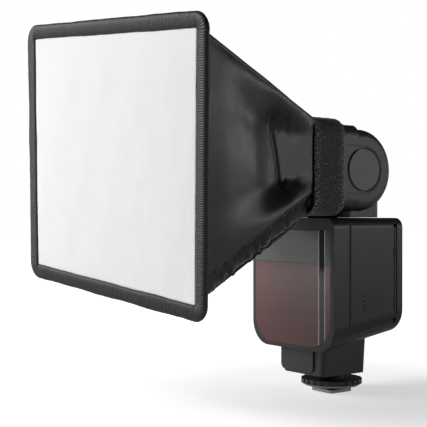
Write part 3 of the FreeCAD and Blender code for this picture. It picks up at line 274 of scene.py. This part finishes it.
grey_panel, tree = new_material("polished_grey_acrylic")
coords = add(tree, "TexCoord")
haze = add(tree, "TexNoise", {"Vector": (coords, "Object"), "Scale": 30.0, "Detail": 2.0})
tint = add(tree, "MixRGB", {"Fac": (haze, "Fac"), "Color1": linear("#4c4d4c"), "Color2": linear("#545554")})
# Painted shade in the bevel and painted highlight lines along its two edges, fixed in object coordinates.
edged = bevel_shade_and_highlights(tree, coords, (tint, "Color"), "#1e1f1f", "#4a4c4c", "#c8c8c6")
softened = add(tree, "Bevel", {"Radius": 0.0005}, samples=4)
surface_of(tree, {"Base Color": edged, "Roughness": 0.24, "IOR": 1.49, "Coat Weight": 0.3,
                  "Coat Roughness": 0.08,
                  "Normal": (softened, "Normal")})
paint(grey_panel, "front_panel")

red_window, tree = new_material("dark_red_acrylic")
coords = add(tree, "TexCoord")
cloud = add(tree, "TexNoise", {"Vector": (coords, "Object"), "Scale": 24.0, "Detail": 2.0})
tint = add(tree, "MixRGB", {"Fac": (cloud, "Fac"), "Color1": linear("#5a2c2c"), "Color2": linear("#683536")})
# Painted shade in the bevel and painted highlight lines along its two edges, fixed in object coordinates.
edged = bevel_shade_and_highlights(tree, coords, (tint, "Color"), "#2a1012", "#5e1c28", "#d8c8c8")
softened = add(tree, "Bevel", {"Radius": 0.0005}, samples=4)
surface_of(tree, {"Base Color": edged, "Roughness": 0.16, "IOR": 1.49, "Transmission Weight": 0.05,
                  "Coat Weight": 0.2, "Coat Roughness": 0.05, "Normal": (softened, "Normal")})
paint(red_window, "sensor_window")


# ---- Battery door: the same ABS as the casing, on a steel pin in a sliding nylon rail.
# Two nickel spring plates inside it join the cells in pairs.

paint(moulded_plastic("battery_door_abs", "#171718", 0.42, 0.55, 0.05, wear_and_highlight="#8a8a8a"), "battery_door")
paint(foot_nylon, "door_rail")
paint(bright_steel, "door_hinge_pin")
paint(nickel_plate, "door_contacts")


# ---- Inside the casing: a tray with four cells, the main capacitor, two boards and the step-up transformer.
# Cells wear a plain printed sleeve, the capacitor a shrunk one, and the boards a green mask over copper.

paint(moulded_plastic("tray_abs", "#26262a", 0.5, 0.8, 0.04), "battery_tray")
paint(moulded_plastic("capacitor_sleeve_pvc", "#1b2030", 0.3, 2.0, 0.01, coat=0.4), "main_capacitor")
paint(moulded_plastic("transformer_tape", "#c79a2c", 0.38, 0.8, 0.03), "step_up_transformer")
paint(moulded_plastic("sensor_epoxy", "#141012", 0.2, 1.0, 0.01, coat=0.5), "slave_sensor")

cell_sleeve, tree = new_material("printed_cell_sleeve")
coords = add(tree, "TexCoord")
place = add(tree, "SeparateXYZ", {"Vector": (coords, "Object")})
cell_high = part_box("battery_cells")[1]
band = add(tree, "MapRange", {"Value": (place, "X"), "From Min": cell_high[0] - 0.0145,
                              "From Max": cell_high[0] - 0.014})
sleeve = add(tree, "MixRGB", {"Fac": (band, "Result"), "Color1": linear("#232427"),
                              "Color2": linear("#b98442")})
scuffs = add(tree, "TexNoise", {"Vector": (coords, "Object"), "Scale": 700.0, "Detail": 4.0})
gloss = add(tree, "MapRange", {"Value": (scuffs, "Fac"), "To Min": 0.2, "To Max": 0.38})
surface_of(tree, {"Base Color": (sleeve, "Color"), "Roughness": (gloss, "Result"), "Metallic": 0.35,
                  "Coat Weight": 0.5, "Coat Roughness": 0.1})
paint(cell_sleeve, "battery_cells")

board_green, tree = new_material("green_solder_mask")
coords = add(tree, "TexCoord")
tracks = add(tree, "TexBrick", {"Vector": (coords, "Object"), "Scale": 260.0, "Mortar Size": 0.04,
                                "Color1": linear("#14532c"), "Color2": linear("#1a5e34"),
                                "Mortar": linear("#0d3b20")})
height = add(tree, "Bump", {"Height": (tracks, "Fac"), "Strength": 0.3, "Distance": 0.00005})
surface_of(tree, {"Base Color": (tracks, "Color"), "Roughness": 0.35, "Normal": (height, "Normal")})
paint(board_green, "main_board", "sensor_board", "control_board")


# ---- Rear controls: a screen under a clear pane, four rubber keys, a dial, its set button, a slide switch.
# Sockets are on the side, one of them under a rubber flap.

screen_ink, tree = new_material("grey_green_screen")
coords = add(tree, "TexCoord")
cells = add(tree, "TexBrick", {"Vector": (coords, "Object"), "Scale": 900.0, "Mortar Size": 0.06,
                               "Color1": linear("#7f8b80"), "Color2": linear("#838f84"),
                               "Mortar": linear("#747f75")},
            offset=0.0)
surface_of(tree, {"Base Color": (cells, "Color"), "Roughness": 0.4})
paint(screen_ink, "screen_module")

clear_pane, tree = new_material("clear_hard_coated_acrylic")
coords = add(tree, "TexCoord")
smear = add(tree, "TexNoise", {"Vector": (coords, "Object"), "Scale": 60.0, "Detail": 4.0})
gloss = add(tree, "MapRange", {"Value": (smear, "Fac"), "To Min": 0.02, "To Max": 0.09})
surface_of(tree, {"Base Color": linear("#e9eff0"), "Roughness": (gloss, "Result"), "IOR": 1.49,
                  "Transmission Weight": 1.0})
paint(clear_pane, "screen_glass")

key_rubber = moulded_plastic("soft_key_rubber", "#38383a", 0.62, 0.5, 0.05)
paint(key_rubber, "mode_button", "light_button", "minus_button", "plus_button", "port_flap")
paint(moulded_plastic("dial_abs", "#303032", 0.34, 0.5, 0.03), "control_dial")
gloss_black = moulded_plastic("polished_black_abs", "#232325", 0.2, 1.2, 0.01, coat=0.6)
paint(gloss_black, "set_button", "power_switch", "sync_socket", "power_socket")

test_amber, tree = new_material("frosted_red_polycarbonate")
coords = add(tree, "TexCoord")
frost = add(tree, "TexNoise", {"Vector": (coords, "Object"), "Scale": 2500.0, "Detail": 2.0})
height = add(tree, "Bump", {"Height": (frost, "Fac"), "Strength": 0.2, "Distance": 0.00003})
surface_of(tree, {"Base Color": linear("#b03328"), "Roughness": 0.3, "Transmission Weight": 0.45, "IOR": 1.58,
                  "Normal": (height, "Normal")})
paint(test_amber, "test_button", "ready_lamp")


# ---- Neck: the saddle turns on the casing and carries the tilt hinge; its retainer is inside.
# The saddle is moulded in one with its tongue; fingers keep it a little glossier than the casing.

neck_abs = moulded_plastic("neck_abs", "#1f1f20", 0.36, 0.6, 0.04, wear_and_highlight="#8f8f8f")
paint(neck_abs, "neck_yoke")
paint(foot_nylon, "swivel_retainer")


# ---- Head: two shells parted on the hinge's level, a shaft across the neck's tongue, two flat caps.
# The caps are glued discs of smoother, paler plastic.

head_abs = moulded_plastic("head_abs", "#28282a", 0.45, 0.55, 0.05, wear_and_highlight="#77787a")
paint(head_abs, "head_upper_shell", "head_lower_shell")
paint(moulded_plastic("smooth_cap_abs", "#5c5c5d", 0.5, 0.8, 0.02, wear_and_highlight="#7e7e7e"), "hinge_caps")
paint(bright_steel, "tilt_shaft", "frame_wire")


# ---- Lamp: a bezel holds the ribbed lens, with the xenon tube in rubber holders across a bright reflector.
# A white card and a clear wide-angle panel pull out of the slot over the lens.

paint(moulded_plastic("bezel_abs", "#2d2d2f", 0.42, 0.55, 0.04), "front_bezel")
paint(clear_pane, "fresnel_lens", "wide_panel", "flash_tube")
paint(plated_metal("bright_anodised_aluminium", "#e6e7e8", 0.14, 0.4), "reflector")
paint(moulded_plastic("white_silicone", "#d8d6d0", 0.55, 0.9, 0.03, wear_and_highlight="#d8d6d0"), "tube_holders")
paint(moulded_plastic("white_card_abs", "#ececea", 0.5, 0.9, 0.02, wear_and_highlight="#ececea"), "bounce_card")


# ---- Softbox cloth: black coated nylon, cut as four panels and sewn at the corners.
# It is pulled tight from the sprung frame to the strap, and bulges where it lies on the head's sides.
# The lower corners are turned under as a crumpled fold.

roll, droop, aside = np.radians([5.5, 4.0, 3.0])
box_turn = np.array(Euler((droop, roll, aside), "YXZ").to_matrix())
band_low, band_high = (np.array(corner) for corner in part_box("softbox_binding"))
box_middle = (band_low + band_high) / 2
strap_low, strap_high = (np.array(corner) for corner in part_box("softbox_strap"))
STRAP_THICK = 1.8 * MM
cloth_half_x = strap_high[0] - STRAP_THICK
cloth_half_z = (strap_high[2] - strap_low[2]) / 2 - STRAP_THICK
head_z = (strap_high[2] + strap_low[2]) / 2
FRAME_HALF_X = 77.2 * MM
FRAME_HALF_Z = 68.2 * MM
strap_front = strap_low[1]
strap_rear = strap_high[1]


def hung(x, y, z):
    """Points given about the frame's own middle, put where the frame hangs: turned, then moved."""
    return np.stack([x, y, z], -1) @ box_turn.T + box_middle


def smooth_step(low, high, value):
    """0 below low, 1 above high, and a cubic between them."""
    t = np.clip((value - low) / (high - low), 0, 1)
    return t * t * (3 - 2 * t)


def creases(a, b, seed, waves, coarse, fine, stretch):
    """Irregular folds: a sum of sine waves with seeded directions; a wave's height falls with its number."""
    draw = np.random.default_rng(seed)
    total = np.zeros(np.broadcast(a, b).shape)
    for number in np.arange(waves):
        pitch = coarse * (fine / coarse) ** (number / max(waves - 1, 1))
        turn = draw.uniform(-0.5, 0.5)
        phase = draw.uniform(0, 2 * np.pi)
        way = (a * np.cos(turn) / stretch + b * np.sin(turn)) * 2 * np.pi / pitch
        total += np.sin(way + phase + 1.5 * np.sin(way * 0.37 + phase)) / (1 + number)
    return total


def panel_run(start, end, count):
    """Points from one corner to the next, closer together at the corners; the end corner is left out."""
    step = (1 - np.cos(np.pi * np.arange(count) / count)) / 2
    return np.outer(1 - step, start) + np.outer(step, end), 2 * step - 1


def ring_of(corners, counts):
    """A closed outline through corners, with the given number of points on each side."""
    sides = [panel_run(a, b, n) for a, b, n in zip(corners, corners[1:] + corners[:1], counts)]
    return np.concatenate([side[0] for side in sides])


FLARE_LONG = 120 * MM
PANEL_HALF = 60 * MM
FOLD_AT_FRAME = (4.6 * MM, 13.5 * MM)
FOLD_AT_STRAP = (5.0 * MM, 12.0 * MM)


def loop_corners(half_x, half_z, fold):
    """The four panels' corners, the lower two cut across by the fold. It starts at the right side's foot."""
    across, up = fold
    return [np.array(p) for p in ((half_x, up - half_z), (half_x, half_z), (-half_x, half_z),
                                  (-half_x, up - half_z),
                                  (across - half_x, -half_z), (half_x - across, -half_z))]


PANEL_COUNTS = (64, 64, 64, 12, 60, 12)
panel_of = np.repeat(np.arange(6), PANEL_COUNTS)
across_panel = np.concatenate([panel_run(np.zeros(2), np.ones(2), n)[1] for n in PANEL_COUNTS])


def cloth_surface(rows, start, end, inset):
    """The cloth from frame (0) to strap (1). Each point is between the frame's loop and the strap's. Then the
    middle of each side panel bulges near the frame and is drawn in to the head, and the floor panel sags."""
    v = np.linspace(start, end, rows)[:, None]
    at_frame = ring_of(loop_corners(FRAME_HALF_X - inset, FRAME_HALF_Z - inset, FOLD_AT_FRAME), PANEL_COUNTS)
    at_strap = ring_of(loop_corners(cloth_half_x - inset, cloth_half_z - inset, FOLD_AT_STRAP), PANEL_COUNTS)
    far = hung(at_frame[:, 0], np.zeros(len(at_frame)), at_frame[:, 1])
    near = np.stack([at_strap[:, 0], np.full(len(at_strap), strap_front), at_strap[:, 1] + head_z], -1)
    points = far[None] * (1 - v[..., None]) + near[None] * v[..., None]
    s = across_panel[None]
    crease_v = 0.71 + (0.03 * (1 - s ** 2) - 0.055 * s) * np.where(panel_of == 0, 1, -1)[None]
    taut = np.where(v < crease_v, v / crease_v, (1 - v) / (1 - crease_v))
    hold = 1 - smooth_step(0.42, 0.95, np.abs(s))
    right, top, left, bottom = (panel_of == number for number in (0, 1, 2, 4))
    side_gap = (FRAME_HALF_X - cloth_half_x) * (1 - crease_v)
    top_gap = (FRAME_HALF_Z - cloth_half_z) * (1 - crease_v)
    drawn_in = side_gap * hold * taut
    points[..., 0] += np.where(right, -1, 0) * drawn_in + np.where(left, 1, 0) * drawn_in
    points[..., 2] += np.where(top, -1, 0) * top_gap * hold * taut
    barrel = 4.5 * MM * smooth_step(0.0, 0.25, v) * (1 - smooth_step(0.45, 0.68, v)) * (1 - s ** 2)
    points[..., 0] += np.where(right, 1, 0) * barrel - np.where(left, 1, 0) * barrel
    sag = 3.0 * MM * np.sin(np.pi * v) * (1 - s ** 2) + 1.5 * MM * taut
    points[..., 2] -= np.where(bottom, 1, 0) * sag
    return points, v, s, crease_v


def cloth_normals(points):
    """Outward normals of the loop-by-length grid, from the cross product of its two directions."""
    around = np.roll(points, -1, 1) - np.roll(points, 1, 1)
    along = np.gradient(points, axis=0)
    normal = np.cross(around, along)
    return -normal / np.linalg.norm(normal, axis=-1, keepdims=True)


def gentle_folds(points, v, s, crease_v):
    """Height of every fold in metres: long pulls, the sewn crease, its puckers, and the crumpled corners."""
    fold = (panel_of == 3) | (panel_of == 5)
    length = v * FLARE_LONG
    place = s * PANEL_HALF
    pulls = 0.22 * MM * creases(length, place, 11, 7, 46 * MM, 9 * MM, 3.0) * np.sin(np.pi * np.clip(v, 0, 1))
    seam = -0.75 * MM * np.exp(-((v - crease_v) / 0.009) ** 2) * (np.abs(s) < 0.62)
    lip = 0.3 * MM * np.exp(-((v - crease_v - 0.02) / 0.012) ** 2) * (np.abs(s) < 0.62)
    near_crease = np.exp(-((v - crease_v - 0.05) / 0.09) ** 2) * np.exp(-((np.abs(s) - 0.6) / 0.16) ** 2)
    puckers = 0.45 * MM * creases(length, place, 23, 7, 12 * MM, 2.6 * MM, 1.0) * near_crease
    crumple = creases(length, place * 0.1, 31, 11, 11 * MM, 1.8 * MM, 1.0)
    sharp = np.abs(crumple) ** 0.8 * np.sign(crumple)
    corner = 0.55 * MM * sharp + 1.1 * MM * (np.abs(s) ** 6) - 1.0 * MM * (1 - s ** 2)
    ridge = 0.5 * MM * smooth_step(0.985, 1.0, np.abs(s))
    return np.where(fold, corner * np.sin(np.pi * np.clip(v * 0.96 + 0.02, 0, 1)) ** 0.4,
                    pulls + seam + lip + puckers + ridge)


def cloth_material(name, colour, roughness, thread_mm, sheen, coat=0.0):
    """Woven cloth: two crossed sine waves on the cloth's own UV map, in metres, and noise for the slubs."""
    material, tree = new_material(name)
    coords = add(tree, "TexCoord")
    waves = [add(tree, "TexWave", {"Vector": (coords, "UV"), "Scale": 1 / (thread_mm * MM) / 2 / np.pi * 2,
                                   "Distortion": 0.6, "Detail": 1.0, "Detail Scale": 2.0},
                 bands_direction=way) for way in ("X", "Y")]
    weave = add(tree, "Math", {0: (waves[0], "Fac"), 1: (waves[1], "Fac")}, operation="MULTIPLY")
    slub = add(tree, "TexNoise", {"Vector": (coords, "UV"), "Scale": 90.0, "Detail": 5.0, "Roughness": 0.65})
    tint = add(tree, "MixRGB", {"Fac": 0.25, "Color1": linear(colour), "Color2": (slub, "Color")},
               blend_type="SOFT_LIGHT")
    gloss = add(tree, "MapRange", {"Value": (slub, "Fac"), "To Min": roughness - 0.1,
                                   "To Max": roughness + 0.12})
    grain = add(tree, "Bump", {"Height": (weave, "Value"), "Strength": 0.3, "Distance": 0.00012})
    height = add(tree, "Bump", {"Height": (slub, "Fac"), "Strength": 0.25, "Distance": 0.0008,
                                "Normal": (grain, "Normal")})
    surface_of(tree, {"Base Color": (tint, "Color"), "Roughness": (gloss, "Result"), "Sheen Weight": sheen,
                      "Sheen Roughness": 0.4, "Coat Weight": coat, "Coat Roughness": 0.3,
                      "Normal": (height, "Normal")})
    return material


def lay_uv(piece, u, v):
    """Give a grid mesh a UV map in metres: u and v hold one value for each of its points."""
    mesh = piece.data
    corners = np.empty(len(mesh.loops), dtype=np.int32)
    mesh.loops.foreach_get("vertex_index", corners)
    flat = np.stack([np.ravel(u)[corners], np.ravel(v)[corners]], 1)
    mesh.uv_layers.new(name="cloth").data.foreach_set("uv", flat.ravel())


def thicken(piece, thick):
    """Give a sheet its thickness on the inner side."""
    wall = piece.modifiers.new("cloth_thickness", "SOLIDIFY")
    wall.thickness = thick
    wall.offset = -1.0


ROWS = 118
points, v, s, crease_v = cloth_surface(ROWS, 0.0, 1.0, 0.0)
normals = cloth_normals(points)
points += normals * gentle_folds(points, v, s, crease_v)[..., None]

COLLAR_ROWS = 12
collar_y = np.linspace(strap_front + 1.5 * MM, strap_rear + 0.9 * MM, COLLAR_ROWS)
tuck = smooth_step(0, 1, np.linspace(0.3, 1, COLLAR_ROWS))[:, None]
at_strap = points[-1][:, (0, 2)]
corner_round = 8.0 * MM
square = np.stack([at_strap[:, 0], at_strap[:, 1] - head_z], 1)
inner = np.clip(square, [-(cloth_half_x - corner_round), -(cloth_half_z - corner_round)],
                [cloth_half_x - corner_round, cloth_half_z - corner_round])
reach = square - inner
reach_length = np.maximum(np.abs(reach).max(1), np.linalg.norm(reach, axis=1))[:, None]
rounded = inner + corner_round * reach / reach_length
collar = square[None] * (1 - tuck[..., None]) + rounded[None] * tuck[..., None]
collar_points = np.stack([collar[..., 0], np.broadcast_to(collar_y[:, None], collar.shape[:2]),
                          collar[..., 1] + head_z], -1)
points = np.concatenate([points, collar_points])

black_nylon = cloth_material("coated_black_nylon", "#0b0b0c", 0.3, 0.9, 0.05)
faces = grid_faces(len(points), points.shape[1], round_columns=True)[:, ::-1]
cloth = mesh_piece("softbox_cloth", points, faces, black_nylon)
run = np.concatenate([[0], np.cumsum(np.linalg.norm(np.diff(points[0], axis=0), axis=1))])
length = np.concatenate([[0], np.cumsum(np.linalg.norm(np.diff(points.mean(1), axis=0), axis=1))])
lay_uv(cloth, np.broadcast_to(run, points.shape[:2]), np.broadcast_to(length[:, None], points.shape[:2]))
thicken(cloth, 0.8 * MM)
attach(cloth, "softbox")
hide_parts("softbox_shell")


# ---- Silver lining: aluminised nylon against the inside of the black cloth, from the frame to the head.
# It is a little slack, so it has soft dents.

lining_points, v, s, crease_v = cloth_surface(50, 0.015, 0.8, 2.6 * MM)
dents = 0.35 * MM * creases(v * FLARE_LONG, s * PANEL_HALF, 5, 6, 30 * MM, 7 * MM, 1.5) - 0.9 * MM
lining_points += cloth_normals(lining_points) * np.minimum(dents, 0)[..., None]
silver_nylon = cloth_material("aluminised_nylon", "#c9cacc", 0.3, 0.9, 0.0)
shader = next(node for node in silver_nylon.node_tree.nodes if node.type == "BSDF_PRINCIPLED")
shader.inputs["Metallic"].default_value = 0.9
lining_faces = grid_faces(*lining_points.shape[:2], round_columns=True)[:, ::-1]
lining = mesh_piece("silver_lining", lining_points, lining_faces, silver_nylon)
lay_uv(lining, np.broadcast_to(run, lining_points.shape[:2]), np.broadcast_to(v * FLARE_LONG,
                                                                              lining_points.shape[:2]))
thicken(lining, 0.2 * MM)
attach(lining, "softbox")
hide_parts("softbox_lining")


# ---- Diffusing cloth: white translucent nylon sewn into the frame's binding.
# It is stretched flat by the sprung wire, with a faint billow and a few soft ripples.

half_x = 76.6 * MM
half_z = 67.6 * MM
side = np.linspace(-1, 1, 97)
grid_z, grid_x = np.meshgrid(side, side, indexing="ij")
billow = -1.3 * MM * (1 - grid_x ** 4) * (1 - grid_z ** 4) - 0.6 * MM
pucker = 0.1 * MM * creases(grid_x * half_x, grid_z * half_z, 3, 5, 40 * MM, 12 * MM, 1.0)
edge_pull = 1 - np.maximum(np.abs(grid_x), np.abs(grid_z)) ** 10
panel_points = hung(grid_x * half_x, billow + pucker * edge_pull, grid_z * half_z)
white_nylon = cloth_material("white_translucent_nylon", "#f4f4f4", 0.75, 0.9, 0.0)
panel = mesh_piece("diffusing_cloth", panel_points, grid_faces(97, 97), white_nylon)
lay_uv(panel, grid_x * half_x, grid_z * half_z)
thicken(panel, 0.3 * MM)
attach(panel, "softbox")
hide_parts("softbox_diffuser")


# ---- Binding: black grosgrain tape folded over the sprung wire and sewn through along its inner edge.
# Its cords run across the tape, 1.2 mm apart.

def rounded_loop(half_x, half_z, corner, count):
    """Points and outward directions at even steps along a rounded rectangle, from the right side's foot."""
    turn = np.linspace(0, np.pi / 2, 24)
    centres = ((1, 1), (-1, 1), (-1, -1), (1, -1))
    arcs = [np.stack([sx * (half_x - corner) + corner * np.cos(turn + quarter * np.pi / 2),
                      sz * (half_z - corner) + corner * np.sin(turn + quarter * np.pi / 2)], 1)
            for quarter, (sx, sz) in enumerate(centres)]
    outline = np.concatenate(arcs + [arcs[0][:1]])
    run = np.concatenate([[0], np.cumsum(np.linalg.norm(np.diff(outline, axis=0), axis=1))])
    at = np.linspace(0, run[-1], count, endpoint=False)
    centre = np.stack([np.interp(at, run, outline[:, axis]) for axis in (0, 1)], 1)
    ahead = np.roll(centre, -1, 0) - np.roll(centre, 1, 0)
    ahead /= np.linalg.norm(ahead, axis=1)[:, None]
    return centre, np.stack([ahead[:, 1], -ahead[:, 0]], 1), at


TAPE_HALF = 4.5 * MM
TAPE_THICK = 2.0 * MM
CORD_PITCH = 1.2 * MM
STEPS = 2160
centre, outward, at = rounded_loop(FRAME_HALF_X - 1.2 * MM + TAPE_HALF, FRAME_HALF_Z - 1.2 * MM + TAPE_HALF,
                                   5.2 * MM, STEPS)
angle = np.linspace(0, 2 * np.pi, 18, endpoint=False)[None]
wide = np.sign(np.cos(angle)) * np.abs(np.cos(angle)) ** 0.7
deep = np.sign(np.sin(angle)) * np.abs(np.sin(angle)) ** 0.8
cords = np.abs(np.sin(np.pi * at / CORD_PITCH))[:, None]
plain_rim = 1 - smooth_step(0.72, 0.95, wide)
uneven = creases(at[:, None], wide * 4 * MM, 41, 5, 60 * MM, 9 * MM, 1.0)
puff = 1 + 0.03 * uneven
across = wide * (TAPE_HALF - 0.25 * MM) * puff + 0.2 * MM * cords * np.sign(wide) * plain_rim
sewn = -0.35 * MM * np.exp(-((wide + 0.72) / 0.09) ** 2)
depth = -(deep * (TAPE_THICK - 0.3 * MM + 0.28 * MM * cords * plain_rim + sewn) * puff)
ring_x = centre[:, :1] + outward[:, :1] * across
ring_z = centre[:, 1:] + outward[:, 1:] * across
tape_points = hung(ring_x, depth, ring_z)
grosgrain, tree = new_material("black_grosgrain")
coords = add(tree, "TexCoord")
# The pale specks are painted glints on the tape's fibres; the same noise gives its fine bump.
speck_noise = add(tree, "TexNoise", {"Vector": (coords, "UV"), "Scale": 1600.0, "Detail": 3.0})
fleck = add(tree, "MapRange", {"Value": (speck_noise, "Fac"), "From Min": 0.56, "From Max": 0.7, "To Max": 0.5})
tint = add(tree, "MixRGB", {"Fac": (fleck, "Result"), "Color1": linear("#0b0b0c"),
                            "Color2": linear("#4c4c4c")})
height = add(tree, "Bump", {"Height": (speck_noise, "Fac"), "Strength": 0.4, "Distance": 0.0003})
surface_of(tree, {"Base Color": (tint, "Color"), "Roughness": 0.5, "Sheen Weight": 0.05,
                  "Sheen Roughness": 0.4,
                  "Normal": (height, "Normal")})
tape = mesh_piece("grosgrain_binding", tape_points, grid_faces(STEPS, 18, True, True), grosgrain)
tape_grid = tape_points.shape[:2]
lay_uv(tape, np.broadcast_to(at[:, None], tape_grid), np.broadcast_to(angle * 1.5 * MM, tape_grid))
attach(tape, "softbox")
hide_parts("softbox_binding")


# ---- Strap: hook-and-loop webbing pulled round the collar, its loops teased out along both sewn edges.

STRAP_STEPS = 380
strap_wide = strap_rear - strap_front
centre, outward, at = rounded_loop(cloth_half_x + 0.9 * MM, cloth_half_z + 0.9 * MM, 9.0 * MM, STRAP_STEPS)
walk = np.linspace(0, 1, 72, endpoint=False)[None]
width_at = np.abs(2 * walk - 1) * 2 - 1
outer = np.where(walk < 0.5, 1.0, -1.0)
rim = 1 - np.abs(width_at) ** 14
loops = creases(at[:, None], width_at * 12 * MM, 53, 12, 3.4 * MM, 1.3 * MM, 1.0)
fuzz = 0.10 * MM * loops * (outer > 0) * (0.7 + 0.8 * smooth_step(0.6, 0.9, np.abs(width_at)))
stand = outer * rim * 0.8 * MM + fuzz
wave = 0.35 * MM * creases(at[:, None], width_at * 0, 67, 4, 120 * MM, 30 * MM, 1.0)
strap_x = centre[:, :1] + outward[:, :1] * stand
strap_z = centre[:, 1:] + outward[:, 1:] * stand + head_z
strap_y = (strap_front + strap_rear) / 2 + width_at * (strap_wide / 2 - 0.4 * MM) + wave
strap_points = np.stack(np.broadcast_arrays(strap_x, strap_y, strap_z), -1)
loop_pile, tree = new_material("loop_pile_webbing")
coords = add(tree, "TexCoord")
across_uv = add(tree, "SeparateXYZ", {"Vector": (coords, "UV")})
pile = add(tree, "TexNoise", {"Vector": (coords, "UV"), "Scale": 950.0, "Detail": 3.0, "Roughness": 0.6})
edge = add(tree, "Math", {0: (across_uv, "Y")}, operation="ABSOLUTE")
selvage = add(tree, "MapRange", {"Value": (edge, "Value"), "From Min": 0.006, "From Max": 0.0105,
                                 "To Min": 0.6, "To Max": 0.51})
# Pale specks from the pile's noise, thickest along both edges, are painted glints.
fleck = add(tree, "Math", {0: (pile, "Fac"), 1: (selvage, "Result")}, operation="SUBTRACT")
shine = add(tree, "MapRange", {"Value": (fleck, "Value"), "From Min": 0.0, "From Max": 0.05, "To Max": 0.9})
tint = add(tree, "MixRGB", {"Fac": (shine, "Result"), "Color1": linear("#161617"),
                            "Color2": linear("#858585")})
height = add(tree, "Bump", {"Height": (pile, "Fac"), "Strength": 0.6, "Distance": 0.0006})
surface_of(tree, {"Base Color": (tint, "Color"), "Roughness": 0.7, "Sheen Weight": 0.15,
                  "Sheen Roughness": 0.5,
                  "Normal": (height, "Normal")})
strap = mesh_piece("loop_strap", strap_points, grid_faces(STRAP_STEPS, 72, True, True), loop_pile)
lay_uv(strap, np.broadcast_to(at[:, None], strap_points.shape[:2]),
       np.broadcast_to(width_at * 12.3 * MM, strap_points.shape[:2]))
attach(strap, "softbox")
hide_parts("softbox_strap")

bpy.context.view_layer.update()
